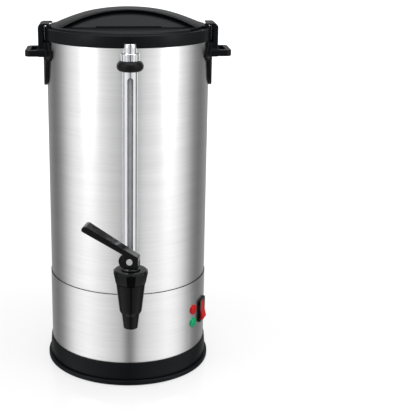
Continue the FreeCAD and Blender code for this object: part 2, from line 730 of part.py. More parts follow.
def crown_body(inset, half_y):
    """Arched crown, drawn in by inset from the outer surface, with a flat underside."""
    wires = []
    for i in range(CROWN_SLICES):
        y = half_y * (2.0 * i / (CROWN_SLICES - 1) - 1)
        reach = math.sqrt(CROWN_R ** 2 - y ** 2) - CROWN_TAPER * inset
        wires.append(crown_section(reach, CROWN_H - inset, y))
    return Part.makeLoft(wires, True, False)


def between_leaning(half_y):
    """Room between the crown's two leaning long faces, half_y from its middle at the shelf."""
    low, high = SHELF_Z - 2 * LID_WALL, SHELF_Z + CROWN_H + OVER
    foot = half_y + CROWN_LEAN * (SHELF_Z - low)
    head = half_y - CROWN_LEAN * (high - SHELF_Z)
    face = outline([(-foot, low), (foot, low), (head, high), (-head, high)],
                   lambda y, z: V(-LID_R, y, z))
    return face.extrude(V(2 * LID_R, 0, 0))


def make_lid():
    under_z = SHELF_Z - LID_WALL
    inner_r = LID_R - LID_WALL
    shelf = turned([
        (0, under_z), (inner_r - LID_CORNER, under_z), (inner_r, under_z - LID_CORNER),
        (inner_r, LID_BOTTOM_Z),
        (LID_R, LID_BOTTOM_Z), (LID_R, SHELF_Z - LID_EDGE_R),
        (LID_R - ARC_MID * LID_EDGE_R, SHELF_Z - ARC_MID * LID_EDGE_R, LID_R - LID_EDGE_R, SHELF_Z),
        (0, SHELF_Z)])
    web_y = CROWN_HALF_Y - WEB_SETBACK
    room_y = web_y - LID_WALL * math.hypot(1.0, CROWN_LEAN)
    crown = crown_body(0.0, CROWN_HALF_Y + OVER).common(between_leaning(CROWN_HALF_Y))
    hollow = crown_body(LID_WALL, room_y + OVER).common(between_leaning(room_y))
    floor = max(hollow.Faces, key=lambda face: -face.CenterOfMass.z)
    cover = shelf.fuse(crown).cut(hollow).cut(floor.extrude(V(0, 0, -2 * LID_WALL)))

    recess_half = math.sqrt(CROWN_R ** 2 - CROWN_HALF_Y ** 2) - 2 * CROWN_LIP
    mouth = crown_section(recess_half, CROWN_H - CROWN_LIP, -CROWN_HALF_Y - OVER)
    web_room = between_leaning(web_y)
    recess = Part.Face(mouth).extrude(V(0, CROWN_HALF_Y + OVER, 0)).cut(web_room)
    cover = cover.cut(recess).cut(round_about(recess, 180))
    strip = block(-LID_STRIP_HALF_X, LID_STRIP_HALF_X, -web_y - LID_STRIP_W,
                  LID_STRIP_ROOT - web_y, SHELF_Z - LID_STRIP_ROOT, SHELF_Z + LID_STRIP_H)
    cover = cover.fuse([strip, round_about(strip, 180)])

    plate_z = LEDGE_Z + GASKET_W / 2
    bowl_z = plate_z - PLATE_BOWL_DEPTH
    boss_z = bowl_z + TANK_T + MOVE_GAP
    boss_r = PIVOT_R + BOSS_WALL
    boss = disc(boss_r, boss_z, boss_z + BOSS_H)
    ribs = block(-CROWN_R, CROWN_R, -RIB_T / 2, RIB_T / 2, under_z, SHELF_Z + CROWN_H)
    cross = block(-RIB_T / 2, RIB_T / 2, -web_y, web_y, under_z, SHELF_Z + CROWN_H)
    envelope = crown.fuse(disc(CROWN_R - OVER, under_z, SHELF_Z))
    ribs = ribs.fuse(cross.common(web_room)).common(envelope)
    keeper_z = boss_z + BOSS_H + NEST_GAP
    keeper_room = disc(boss_r + OVER, keeper_z - NEST_GAP, keeper_z + NUT_H + OVER)
    bore = disc(PIVOT_R + PIN_GAP, boss_z - OVER, keeper_z + NUT_H)
    rib_r = inner_r - RIM_RIB_IN
    rim_rib = ring(rib_r - RIM_RIB_T, rib_r, plate_z + TANK_T + MOVE_GAP, under_z + RIM_RIB_ROOT)
    cover = cover.fuse([boss, ribs, rim_rib]).cut(keeper_room).cut(bore)
    sector = ring(CROWN_R + NOTCH_GAP, LID_R + OVER, LID_BOTTOM_Z - OVER, SHELF_Z + OVER)
    far, wide = 2 * LID_R, 2 * LID_R * math.tan(math.radians(NOTCH_HALF_DEG))
    wedge = outline([(0, 0), (far, -wide), (far, wide)], lambda x, y: V(x, y, LID_BOTTOM_Z - 2 * OVER))
    notch = sector.common(wedge.extrude(V(0, 0, SHELF_Z)))
    notches = fused(polar_copies(notch, 2, -NOTCH_TURN_DEG))
    cover = cover.cut(notches).removeSplitter()

    inside = PLATE_CORNER + TANK_T / 2
    plate = turned([
        (PIVOT_R + PIN_GAP, bowl_z), (PLATE_BOWL_R - PLATE_CORNER, bowl_z),
        (PLATE_BOWL_R, bowl_z + PLATE_CORNER),
        (PLATE_BOWL_R, plate_z), (PLATE_EDGE_R, plate_z), (PLATE_EDGE_R, plate_z + TANK_T),
        (PLATE_BOWL_R - TANK_T, plate_z + TANK_T), (PLATE_BOWL_R - TANK_T, bowl_z + inside),
        (PLATE_BOWL_R - inside, bowl_z + TANK_T), (PIVOT_R + PIN_GAP, bowl_z + TANK_T)])
    gasket = ring(PLATE_EDGE_R - GASKET_W, PLATE_EDGE_R, LEDGE_Z + PIN_GAP, plate_z)
    head = disc(PIVOT_HEAD_R, bowl_z - PIVOT_HEAD_H, bowl_z)
    pivot = head.fuse(disc(PIVOT_R, bowl_z - PIVOT_HEAD_H / 2, keeper_z + NUT_H))
    keeper = hex_prism(KEEPER_FLATS, keeper_z, keeper_z + NUT_H - OVER)
    keeper = keeper.cut(disc(PIVOT_R + PRESS_GAP, keeper_z - OVER, keeper_z + NUT_H))
    return {"lid_cover": [cover], "lid_plate": [plate], "lid_gasket": [gasket],
            "lid_pivot_screw": [pivot], "lid_pivot_nut": [keeper]}


def make_handle():
    """The right-hand handle: shell plate, tapered leg, hooked column and grip loop."""
    wall_r = SHELL_R + NEST_GAP
    top_z = SHELF_Z + MOVE_GAP + HOOK_T
    grip_top = COLLAR_Z + GRIP_TOP
    grip_low = grip_top - GRIP_T

    def wall_piece(half_deg, thick, z0, z1):
        piece = Part.makeCylinder(wall_r + thick, z1 - z0, V(0, 0, z0), UP, 2 * half_deg)
        return round_about(piece, -half_deg)

    plate = wall_piece(HANDLE_PLATE_DEG, HANDLE_PLATE_T, COLLAR_Z + HANDLE_PLATE_Z0,
                       COLLAR_Z + HANDLE_PLATE_Z1)
    lug = wall_piece(HANDLE_LUG_DEG, HANDLE_PLATE_T, COLLAR_Z + HANDLE_LUG_Z0,
                     COLLAR_Z + HANDLE_LUG_Z1)
    leg_z0 = COLLAR_Z - HANDLE_LEG_DROP
    leg_z1 = COLLAR_Z + HANDLE_PLATE_Z0 + OVER
    tip = HANDLE_LEG_HALF1
    leg_face = outline([(-HANDLE_LEG_HALF0, leg_z1), (-tip, leg_z0 + tip / 2),
                        (0, leg_z0, tip, leg_z0 + tip / 2), (HANDLE_LEG_HALF0, leg_z1)],
                       lambda y, z: V(SHELL_R / 2, y, z))
    leg = leg_face.extrude(V(SHELL_R, 0, 0)).common(disc(wall_r + HANDLE_LEG_T, leg_z0, leg_z1))

    slot_x = COLLAR_R + COLUMN_GAP
    column_in = wall_r - OVER
    slot_low = COLLAR_Z + HANDLE_PLATE_Z1 - COLUMN_SLOT_DROP
    foot_z = grip_low - COLUMN_FOOT
    corner_x = COLUMN_X - COLUMN_TOP_R
    column = along_y([
        (HOOK_X, top_z - HOOK_T), (slot_x, top_z - HOOK_T), (slot_x, slot_low),
        (column_in, slot_low), (column_in, foot_z),
        (COLUMN_X - COLUMN_FOOT, foot_z), (COLUMN_X + GRIP_FILLET_R, grip_low),
        (COLUMN_X + GRIP_FILLET_R, grip_top),
        (COLUMN_X + ARC_MID * GRIP_FILLET_R, grip_top + ARC_MID * GRIP_FILLET_R,
         COLUMN_X, grip_top + GRIP_FILLET_R),
        (COLUMN_X, top_z - COLUMN_TOP_R),
        (COLUMN_X - ARC_MID * COLUMN_TOP_R, top_z - ARC_MID * COLUMN_TOP_R, corner_x, top_z),
        (HOOK_X + HOOK_EDGE, top_z), (HOOK_X, top_z - HOOK_EDGE)], -COLUMN_HALF_Y, COLUMN_HALF_Y)
    nose_y = HOOK_NOSE - COLUMN_HALF_Y
    nose = outline([(HOOK_X - OVER, COLUMN_HALF_Y + OVER), (HOOK_X - OVER, nose_y),
                    (HOOK_X + HOOK_STEP, nose_y + HOOK_STEP / 2),
                    (HOOK_X + HOOK_STEP, COLUMN_HALF_Y + OVER)],
                   lambda x, y: V(x, y, top_z - HOOK_T - OVER)).extrude(V(0, 0, HOOK_T + 2 * OVER))
    column = column.cut(nose)

    outer = rounded_plate((GRIP_X - wall_r) / 2 + OVER, GRIP_HALF_Y, GRIP_CORNER_R, grip_low, grip_top)
    outer = outer.translated(V((GRIP_X + wall_r) / 2 - OVER, 0, 0))
    outer = outer.cut(block(0, slot_x, -GRIP_HALF_Y - OVER, GRIP_HALF_Y + OVER,
                            grip_low - OVER, grip_top + OVER))
    arms = block(wall_r, slot_x + GRIP_CORNER_R, -GRIP_HALF_Y, GRIP_HALF_Y, grip_low, grip_top)
    gap = block(COLUMN_X + OVER, GRIP_X - GRIP_BAR, GRIP_SIDE - GRIP_HALF_Y, GRIP_HALF_Y - GRIP_SIDE,
                foot_z - OVER, grip_top + GRIP_FILLET_R + OVER)
    handle = fused([plate, lug, leg, column, outer, arms]).cut(gap)
    handle = handle.cut(disc(wall_r, leg_z0 - OVER, top_z - HOOK_T - OVER))
    for drop in HANDLE_SCREW_DROPS:
        hole = cylinder(V(SHELL_R, 0, COLLAR_Z - drop), RIGHT, SHELL_SCREW_R + PIN_GAP,
                        SHELL_SCREW_DEPTH + OVER)
        handle = handle.cut(hole)
    return handle.removeSplitter()


def make_handles():
    handle = make_handle()
    inner_r = SHELL_R - SHEET_T
    head = disc(SHELL_SCREW_HEAD_R, -SHELL_SCREW_HEAD_H, 0)
    shank = disc(SHELL_SCREW_R, -SHELL_SCREW_HEAD_H / 2, SHEET_T + SHELL_SCREW_DEPTH)
    screw = head.fuse(shank)
    screws = [on_wall(screw, side, inner_r - NEST_GAP, z) for side, z in shell_screw_axes()]
    return {"right_handle": [handle], "left_handle": [round_about(handle, 180)],
            "shell_screws": screws}


def make_gauge():
    seal_z = SHANK_Z + SHANK_R + GAUGE_SEAL_FLOOR
    glass_top = GAUGE_CAP_Z + GLASS_IN_CAP
    glass = ring(GLASS_BORE_R, GLASS_R, seal_z, glass_top, 0, GAUGE_Y)
    shield_z = GAUGE_BASE_TOP
    shield = ring(SHIELD_R - SHIELD_T, SHIELD_R, shield_z, GAUGE_RING_Z, 0, GAUGE_Y)
    slot_top = GAUGE_RING_Z - SHIELD_SLOT_TOP
    half = SHIELD_SLOT_W / 2
    slot_low = shield_z + SHIELD_SLOT_FOOT
    slot = along_y([(-half, slot_low), (half, slot_low), (half, slot_top - half),
                    (0, slot_top, -half, slot_top - half)], GAUGE_Y - SHIELD_R - OVER, GAUGE_Y)
    shield = shield.cut(slot)

    e = GAUGE_RING_EDGE_R
    d = e * ARC_MID
    bore = GLASS_R + NEST_GAP
    z0, z1 = GAUGE_RING_Z, GAUGE_NUT_Z
    grommet = turned([
        (bore, z0), (GAUGE_RING_R - e, z0), (GAUGE_RING_R - d, z0 + d, GAUGE_RING_R, z0 + e),
        (GAUGE_RING_R, z1 - e), (GAUGE_RING_R - d, z1 - d, GAUGE_RING_R - e, z1), (bore, z1)],
        0, GAUGE_Y)
    grommet = grommet.cut(disc(SHELL_R + NEST_GAP, z0 - OVER, z1 + OVER))
    hole = cylinder(V(0, 0, (z0 + z1) / 2), FRONT, SHELL_SCREW_R + PIN_GAP,
                    SHELL_R + SHELL_SCREW_DEPTH + MOVE_GAP)
    grommet = grommet.cut(hole)
    nut = ring(bore, GAUGE_NUT_R, GAUGE_NUT_Z, GAUGE_CAP_Z, 0, GAUGE_Y)
    flute = disc(GAUGE_FLUTE_R, GAUGE_NUT_Z - OVER, GAUGE_CAP_Z - GAUGE_FLUTE_STOP, GAUGE_NUT_R)
    flutes = fused(polar_copies(flute, GAUGE_NUT_FLUTES)).translated(V(0, GAUGE_Y, 0))
    nut = nut.cut(flutes)
    cap = disc(GAUGE_CAP_R, GAUGE_CAP_Z, GAUGE_CAP_TOP, 0, GAUGE_Y)
    cap = cap.cut(disc(bore, GAUGE_CAP_Z - OVER, glass_top + GLASS_TOP_ROOM, 0, GAUGE_Y))
    cap = cap.cut(block(-GAUGE_SLIT / 2, GAUGE_SLIT / 2, GAUGE_Y - GAUGE_CAP_R, GAUGE_Y + GAUGE_CAP_R,
                        GAUGE_CAP_TOP - GAUGE_SLIT, GAUGE_CAP_TOP + OVER))

    eye = disc(GAUGE_BASE_R, SHANK_Z - GAUGE_BASE_DOWN, GAUGE_BASE_TOP, 0, GAUGE_Y)
    eye = eye.cut(cylinder(V(0, 0, SHANK_Z), FRONT, SHANK_R + PIN_GAP, -2 * GAUGE_Y))
    eye = eye.cut(disc(GLASS_R + GAUGE_SEAL_T, seal_z, GAUGE_BASE_TOP + OVER, 0, GAUGE_Y))
    eye = eye.cut(disc(GAUGE_PORT_R, SHANK_Z, GAUGE_BASE_TOP, 0, GAUGE_Y))
    seal_r = GLASS_R + GAUGE_SEAL_T - PIN_GAP
    seal = ring(GLASS_R + PIN_GAP, seal_r, seal_z, GAUGE_BASE_TOP, 0, GAUGE_Y)
    return {"gauge_glass": [glass], "gauge_shield": [shield], "gauge_grommet": [grommet],
            "gauge_nut": [nut], "gauge_cap": [cap], "gauge_base": [eye],
            "gauge_seal": [seal]}


def make_shank():
    """Tube from the tank to the tap, with its nut, washers and spacer."""
    nut_r = TANK_IN_R - WASHER_T - WASHER_BED
    inner_end = TANK_IN_R - SHANK_IN
    outer_end = -TAP_Y - BODY_ARM_R
    shank = on_front(ring(SHANK_BORE_R, SHANK_R, inner_end, outer_end)).translated(V(0, 0, SHANK_Z))
    up_hole = disc(GAUGE_PORT_R, SHANK_Z, SHANK_Z + SHANK_R + OVER, 0, GAUGE_Y)
    shank = shank.cut(up_hole)
    nut = hex_prism(SHANK_NUT_FLATS, nut_r - SHANK_NUT_H, nut_r)
    nut = nut.cut(disc(SHANK_R + PIN_GAP, 0, SHELL_R))
    nut = on_front(nut).translated(V(0, 0, SHANK_Z))

    def washer(r0, r1, keep_in, keep_out):
        piece = on_front(ring(SHANK_R + PIN_GAP, WASHER_R, r0, r1)).translated(V(0, 0, SHANK_Z))
        z0, z1 = SHANK_Z - WASHER_R - OVER, SHANK_Z + WASHER_R + OVER
        if keep_in:
            piece = piece.common(disc(keep_in, z0, z1))
        return piece.cut(disc(keep_out, z0, z1)) if keep_out else piece

    inner = washer(nut_r, TANK_R, TANK_IN_R, 0)
    middle = washer(TANK_R - 2 * OVER, SHELL_R, SHELL_R - SHEET_T, TANK_R)
    outer = washer(SHELL_R - 2 * OVER, -GAUGE_Y - GAUGE_BASE_R + WASHER_SINK, 0, SHELL_R)
    outer = outer.cut(disc(GAUGE_BASE_R, SHANK_Z - 2 * WASHER_R, SHANK_Z + 2 * WASHER_R, 0, GAUGE_Y))
    return {"tap_shank": [shank], "shank_nut": [nut], "shank_washers": [inner, middle, outer]}


def make_tap_body():
    low_z = NOSE_Z
    spout_z = low_z - NOZZLE_H + NOZZLE_SETBACK
    steps = [
        (OUTLET_R, spout_z), (SPOUT_R, spout_z), (SPOUT_R, low_z),
        (BODY_NOSE_R, low_z), (BODY_LOW_R - ARC_MID * (BODY_LOW_R - BODY_NOSE_R),
                               low_z + ARC_MID * BODY_NOSE_H, BODY_LOW_R, BODY_LOW_Z),
        (BODY_TOP_R, BODY_TOP_Z), (NECK_R, BODY_TOP_Z), (NECK_R, BODY_TOP_Z + NECK_H),
        (CHAMBER_R, BODY_TOP_Z + NECK_H), (CHAMBER_R, CHAMBER_Z), (SEAT_R, CHAMBER_Z),
        (SEAT_R, SEAT_Z), (OUTLET_R, SEAT_Z)]
    body = turned(steps, 0, TAP_Y)
    arm_start = -GAUGE_Y + GAUGE_BASE_R
    arm_end = -TAP_Y - CHAMBER_R
    arm = cylinder(V(0, -arm_start, SHANK_Z), FRONT, BODY_ARM_R, arm_end - arm_start)
    arm = arm.cut(disc(GAUGE_BASE_R + NEST_GAP, SHANK_Z - 2 * BODY_ARM_R, SHANK_Z + 2 * BODY_ARM_R,
                       0, GAUGE_Y))
    body = body.fuse(arm.cut(disc(CHAMBER_R, CHAMBER_Z, BODY_TOP_Z, 0, TAP_Y)))
    socket = cylinder(V(0, SHANK_SOCKET - arm_start, SHANK_Z), FRONT, SHANK_R + PIN_GAP,
                      SHANK_SOCKET - TAP_Y - arm_start - BODY_ARM_R)
    passage = cylinder(V(0, -arm_start, SHANK_Z), FRONT, SHANK_BORE_R, -TAP_Y - arm_start)
    body = body.cut(socket.fuse(passage))

    nozzle_z = low_z - NOZZLE_H
    nozzle = turned([
        (SPOUT_R + PIN_GAP, low_z - PIN_GAP), (SPOUT_R + PIN_GAP, nozzle_z + NOZZLE_LIP),
        (SPOUT_R, nozzle_z), (NOZZLE_LOW_R, nozzle_z), (NOZZLE_TOP_R, low_z - NOZZLE_SHOULDER),
        (NOZZLE_TOP_R - NOZZLE_EDGE, low_z - PIN_GAP)], 0, TAP_Y)

    top = BONNET_Z + BONNET_H
    facets = []
    for radius, z in ((BONNET_LOW_R, BONNET_Z), (BONNET_TOP_R, top)):
        corners = [V(*polar_point(BONNET_TURN + 360.0 * i / BONNET_FACETS, radius), z)
                   for i in range(BONNET_FACETS)]
        facets.append(Part.makePolygon(corners + corners[:1]))
    skirt = Part.makeLoft(facets, True, True)
    crown_r = BONNET_TOP_R * math.cos(math.pi / BONNET_FACETS) - NEST_GAP
    crown = turned([(0, top), (crown_r, top),
                    (crown_r - ARC_MID * BONNET_ROUND, BONNET_TOP_Z - ARC_MID * BONNET_CROWN_H,
                     crown_r - BONNET_ROUND, BONNET_TOP_Z), (0, BONNET_TOP_Z)])
    bonnet = skirt.fuse(crown).translated(V(0, TAP_Y, 0))
    inside_z = BONNET_TOP_Z - BONNET_TOP_T
    bonnet = bonnet.cut(disc(NECK_R + NEST_GAP, BONNET_Z - OVER, inside_z, 0, TAP_Y))
    bonnet = bonnet.cut(disc(GUIDE_SLEEVE_R + PIN_GAP, BONNET_Z, BONNET_TOP_Z + OVER, 0, TAP_Y))
    return {"tap_body": [body.removeSplitter()], "tap_nozzle": [nozzle], "tap_bonnet": [bonnet]}


def lever_place(shape):
    """Moves a piece built about the lever pin to its place on the tap."""
    return shape.rotated(ORIGIN, UP, LEVER_YAW).translated(V(0, TAP_Y, PIN_Z))


def make_lever():
    """Cam head and handle of the tap lever, built about its pin."""
    across_y = V(0, 1, 0)
    cam = cylinder(V(-CAM_OFFSET, -LEVER_HALF, 0), across_y, CAM_R, 2 * LEVER_HALF)
    low, high = HEEL_EDGE_R, HEEL_TOP_EDGE_R
    heel = along_y([(-CAM_OFFSET, -CAM_R), (HEEL_X - low, -CAM_R),
                    (HEEL_X - ARC_MID * low, ARC_MID * low - CAM_R, HEEL_X, low - CAM_R),
                    (HEEL_X, HEEL_TOP - high), (-CAM_OFFSET, HEEL_TOP - high)], -LEVER_HALF, LEVER_HALF)
    arm = along_y([
        (HEEL_X, 0), (HEEL_X, HEEL_TOP - high),
        (HEEL_X - ARC_MID * high, HEEL_TOP - ARC_MID * high, HEEL_X - high, HEEL_TOP),
        (LEVER_TIP_TOP_X, LEVER_TIP_TOP_Z),
        (LEVER_TIP_TOP_X - LEVER_TIP_BULGE_X, LEVER_TIP_TOP_Z - LEVER_TIP_BULGE_Z,
         LEVER_TIP_X, LEVER_TIP_Z),
        (LEVER_KNEE_X, LEVER_KNEE_Z), (LEVER_KNEE_X, 0)], -LEVER_TIP_HALF, LEVER_TIP_HALF)
    r = LEVER_TIP_CORNER_R
    d = r * ARC_MID
    tip = LEVER_TIP_X - LEVER_TIP_SPARE
    plan = outline([
        (HEEL_X, -LEVER_HEEL_HALF), (HEEL_X, LEVER_HEEL_HALF), (tip + r, LEVER_TIP_HALF),
        (tip + d, LEVER_TIP_HALF - d, tip, LEVER_TIP_HALF - r), (tip, r - LEVER_TIP_HALF),
        (tip + d, d - LEVER_TIP_HALF, tip + r, -LEVER_TIP_HALF)],
        lambda x, y: V(x, y, -CAM_R)).extrude(V(0, 0, LEVER_TIP_TOP_Z + 2 * CAM_R))
    lever = fused([cam, heel, arm.common(plan)])

    slot_half = TONGUE_T / 2 + MOVE_GAP
    slot_r = TONGUE_R + TONGUE_ROOM
    slot = cylinder(V(0, -slot_half, 0), across_y, slot_r, 2 * slot_half)
    slot = slot.fuse(block(-2 * CAM_R, 2 * CAM_R, -slot_half, slot_half, -2 * CAM_R, 0))
    lever = lever.cut(slot)
    lever = lever.cut(cylinder(V(0, -CAM_R, 0), across_y, LEVER_PIN_R + PRESS_GAP, 2 * CAM_R))
    for start, radius in ((-2 * LEVER_HALF, LEVER_PIN_HEAD_R), (LEVER_HALF, LEVER_PIN_TAIL_R)):
        lever = lever.cut(cylinder(V(0, start, 0), across_y, radius + PRESS_GAP, LEVER_HALF))

    rise = math.atan2(LEVER_TIP_TOP_Z - HEEL_TOP, HEEL_X - LEVER_TIP_TOP_X)
    head = disc(RECESS_R, -RECESS_DEPTH, RECESS_DEPTH * 3)
    tail = disc(RECESS_TAIL_R, -RECESS_DEPTH, RECESS_DEPTH * 3, RECESS_LENGTH)
    lean = math.asin((RECESS_R - RECESS_TAIL_R) / RECESS_LENGTH)
    side = [(RECESS_R * math.sin(lean), s * RECESS_R * math.cos(lean)) for s in (-1, 1)]
    end = [(RECESS_LENGTH + RECESS_TAIL_R * math.sin(lean), s * RECESS_TAIL_R * math.cos(lean))
           for s in (1, -1)]
    web = outline(side + end, lambda x, y: V(x, y, -RECESS_DEPTH))
    pocket = fused([head, tail, web.extrude(V(0, 0, RECESS_DEPTH * 4))])
    pocket = pocket.rotated(ORIGIN, across_y, math.degrees(rise))
    start_x = LEVER_TIP_TOP_X + RECESS_END * math.cos(rise)
    start_z = LEVER_TIP_TOP_Z - RECESS_END * math.sin(rise)
    return lever.cut(pocket.translated(V(start_x, 0, start_z)))


def make_valve():
    """Guide, stem, seat cup, spring, lever and pin."""
    inside_z = BONNET_TOP_Z - BONNET_TOP_T
    guide = ring(STEM_R + PIN_GAP, GUIDE_R, GUIDE_Z, GUIDE_TOP_Z, 0, TAP_Y)
    sleeve_z = inside_z - GUIDE_SLEEVE_DOWN
    sleeve = ring(STEM_R + PIN_GAP, GUIDE_SLEEVE_R, sleeve_z, GUIDE_Z, 0, TAP_Y)
    clip = ring(GUIDE_SLEEVE_R - CLIP_ROOT, GUIDE_SLEEVE_R + CLIP_W, sleeve_z + CLIP_T,
                sleeve_z + 2 * CLIP_T, 0, TAP_Y)
    guide = fused([guide, sleeve, clip])

    cup_z = SEAT_Z + NEST_GAP
    collar_z = cup_z + CUP_H
    cam_drop = CAM_R + CAM_OFFSET * math.sin(math.radians(LEVER_SWING))
    flat_z = PIN_Z - cam_drop - MOVE_GAP
    stem = disc(STEM_R, cup_z + CUP_FLOOR, flat_z, 0, TAP_Y)
    stem = stem.fuse(disc(STEM_COLLAR_R, collar_z, collar_z + STEM_COLLAR_T, 0, TAP_Y))
    eye = lever_place(cylinder(V(0, -TONGUE_T / 2, 0), V(0, 1, 0), TONGUE_R, TONGUE_T))
    slab = lever_place(block(-STEM_R, STEM_R, -TONGUE_T / 2, TONGUE_T / 2, flat_z - PIN_Z - OVER, 0))
    flat = slab.common(disc(STEM_R, flat_z - OVER, PIN_Z, 0, TAP_Y))
    stem = fused([stem, eye, flat])
    pin_hole = cylinder(V(0, -TONGUE_T, 0), V(0, 1, 0), LEVER_PIN_R + PIN_GAP, 2 * TONGUE_T)
    stem = stem.cut(lever_place(pin_hole))

    cup = disc(CUP_R, cup_z, collar_z, 0, TAP_Y)
    cup = cup.cut(disc(STEM_R, cup_z + CUP_FLOOR, collar_z + OVER, 0, TAP_Y))
    spring_z0 = collar_z + STEM_COLLAR_T + SPRING_WIRE_R + SPRING_GAP
    spring_h = sleeve_z - SPRING_WIRE_R - SPRING_GAP - spring_z0
    corners = SPRING_TURNS * SPRING_SIDES
    corner_r = SPRING_R / math.cos(math.pi / SPRING_SIDES)
    route = [polar_point(i * 360.0 / SPRING_SIDES, corner_r) + (i * spring_h / corners,)
             for i in range(corners + 1)]
    spring = wire_run(route, SPRING_BEND_R, SPRING_WIRE_R).translated(V(0, TAP_Y, spring_z0))

    head = cylinder(V(0, -LEVER_HALF - LEVER_PIN_HEAD_T, 0), V(0, 1, 0), LEVER_PIN_HEAD_R,
                    LEVER_PIN_HEAD_T)
    tail = cylinder(V(0, LEVER_HALF, 0), V(0, 1, 0), LEVER_PIN_TAIL_R, LEVER_PIN_HEAD_T)
    shaft = cylinder(V(0, -LEVER_HALF, 0), V(0, 1, 0), LEVER_PIN_R, 2 * LEVER_HALF)
    pin = lever_place(fused([head, shaft, tail]))
    return {"tap_guide": [guide], "tap_stem": [stem], "tap_seat_cup": [cup], "tap_spring": [spring],
            "tap_lever": [lever_place(make_lever())], "tap_pin": [pin]}


def polar_point(degrees, radius):
    return (radius * math.cos(math.radians(degrees)), radius * math.sin(math.radians(degrees)))


def make_switch():
    """Bezel with its housing, and the rocker on its pins; built facing +Z, then stood on the wall."""
    face = SWITCH_PROUD
    bezel = rounded_plate(SWITCH_W / 2, SWITCH_H / 2, SWITCH_CORNER_R, -OVER, face)
    body = rounded_plate(SWITCH_BODY_W / 2, SWITCH_BODY_H / 2, SWITCH_BODY_CORNER_R,
                         -SWITCH_BODY_DEPTH, 0)
    shell_cut = on_front(disc(LOWER_R + PIN_GAP, -SWITCH_H, SWITCH_H)).translated(V(0, 0, -LOWER_R))
    bezel = bezel.cut(shell_cut)
    opening = rounded_plate(SWITCH_OPEN_W / 2, SWITCH_OPEN_H / 2, SWITCH_OPEN_CORNER_R,
                            SWITCH_FLOOR_T - SWITCH_BODY_DEPTH, face + OVER)
    pivot = face - SWITCH_PIVOT_DEPTH
    pin_room = cylinder(V(-SWITCH_OPEN_W / 2 - ROCKER_PIN_L, 0, pivot), RIGHT, ROCKER_PIN_R + PIN_GAP,
                        SWITCH_OPEN_W + 2 * ROCKER_PIN_L)
    housing = bezel.fuse(body).cut(opening).cut(pin_room)

    top = ROCKER_REST_DEG
    low = top - 180 + SWITCH_SWING
    mirror = (top + low) / 2
    arc = ROCKER_ARC_DEG

    def place(u, v):
        return V(0, v, pivot + u)

    outline_steps = [
        polar_point(mirror, ROCKER_DIP), polar_point(top, ROCKER_R),
        polar_point(top + arc / 2, ROCKER_R) + polar_point(top + arc, ROCKER_R),
        polar_point(mirror + ROCKER_BACK_DEG, ROCKER_BACK_R),
        polar_point(mirror - ROCKER_BACK_DEG, ROCKER_BACK_R),
        polar_point(low - arc, ROCKER_R),
        polar_point(low - arc / 2, ROCKER_R) + polar_point(low, ROCKER_R)]
    half_w = SWITCH_OPEN_W / 2 - MOVE_GAP
    rocker = outline(outline_steps, place).translated(V(-half_w, 0, 0)).extrude(V(2 * half_w, 0, 0))
    pins = cylinder(V(-half_w - ROCKER_PIN_L, 0, pivot), RIGHT, ROCKER_PIN_R,
                    2 * (half_w + ROCKER_PIN_L))
    rocker = rocker.fuse(pins)
    tab = block(-TAB_W / 2, TAB_W / 2, -TAB_T / 2, TAB_T / 2, -SWITCH_BODY_DEPTH - TAB_L,
                -SWITCH_BODY_DEPTH)
    tabs = [tab.translated(V(0, dy, 0)) for dy in (-TAB_PITCH, 0.0, TAB_PITCH)]
    return {"switch_housing": [on_wall(housing, SWITCH_DEG, LOWER_R, SWITCH_Z)],
            "switch_rocker": [on_wall(rocker, SWITCH_DEG, LOWER_R, SWITCH_Z)],
            "spade_tabs": [on_wall(t, SWITCH_DEG, LOWER_R, SWITCH_Z) for t in tabs] + inlet_tabs()}


def make_lamps():
    ball_r = (LAMP_R ** 2 + LAMP_DOME ** 2) / (2 * LAMP_DOME)
    ball = Part.makeSphere(ball_r, V(0, 0, LAMP_PROUD + LAMP_DOME - ball_r))
    lens = disc(LAMP_R, PIN_GAP, LAMP_PROUD + LAMP_DOME).common(ball)
    lens = lens.fuse(disc(LAMP_STEM_R, -LAMP_STEM_L, LAMP_PROUD / 2))
    body = disc(LAMP_BODY_R, -LAMP_STEM_L - LAMP_BODY_L, -LAMP_STEM_L)
    bodies = [on_wall(body, LAMP_DEG, LOWER_R, z) for z in (RED_LAMP_Z, GREEN_LAMP_Z)]
    return {"red_lamp_lens": [on_wall(lens, LAMP_DEG, LOWER_R, RED_LAMP_Z)],
            "green_lamp_lens": [on_wall(lens, LAMP_DEG, LOWER_R, GREEN_LAMP_Z)],
            "lamp_bodies": bodies}


def inlet_contacts():
    """Places of the three contacts across the inlet's face."""
    step = INLET_PIN_STEP / 2
    return ((-INLET_PIN_PITCH, -step), (0, step), (INLET_PIN_PITCH, -step))


def inlet_tabs():
    tabs = []
    for x, y in inlet_contacts():
        tab = block(x - TAB_T / 2, x + TAB_T / 2, y - TAB_W / 2, y + TAB_W / 2,
                    -INLET_DEPTH - TAB_L, -INLET_DEPTH)
        tabs.append(on_wall(tab, 180.0, LOWER_R, INLET_Z))
    return tabs


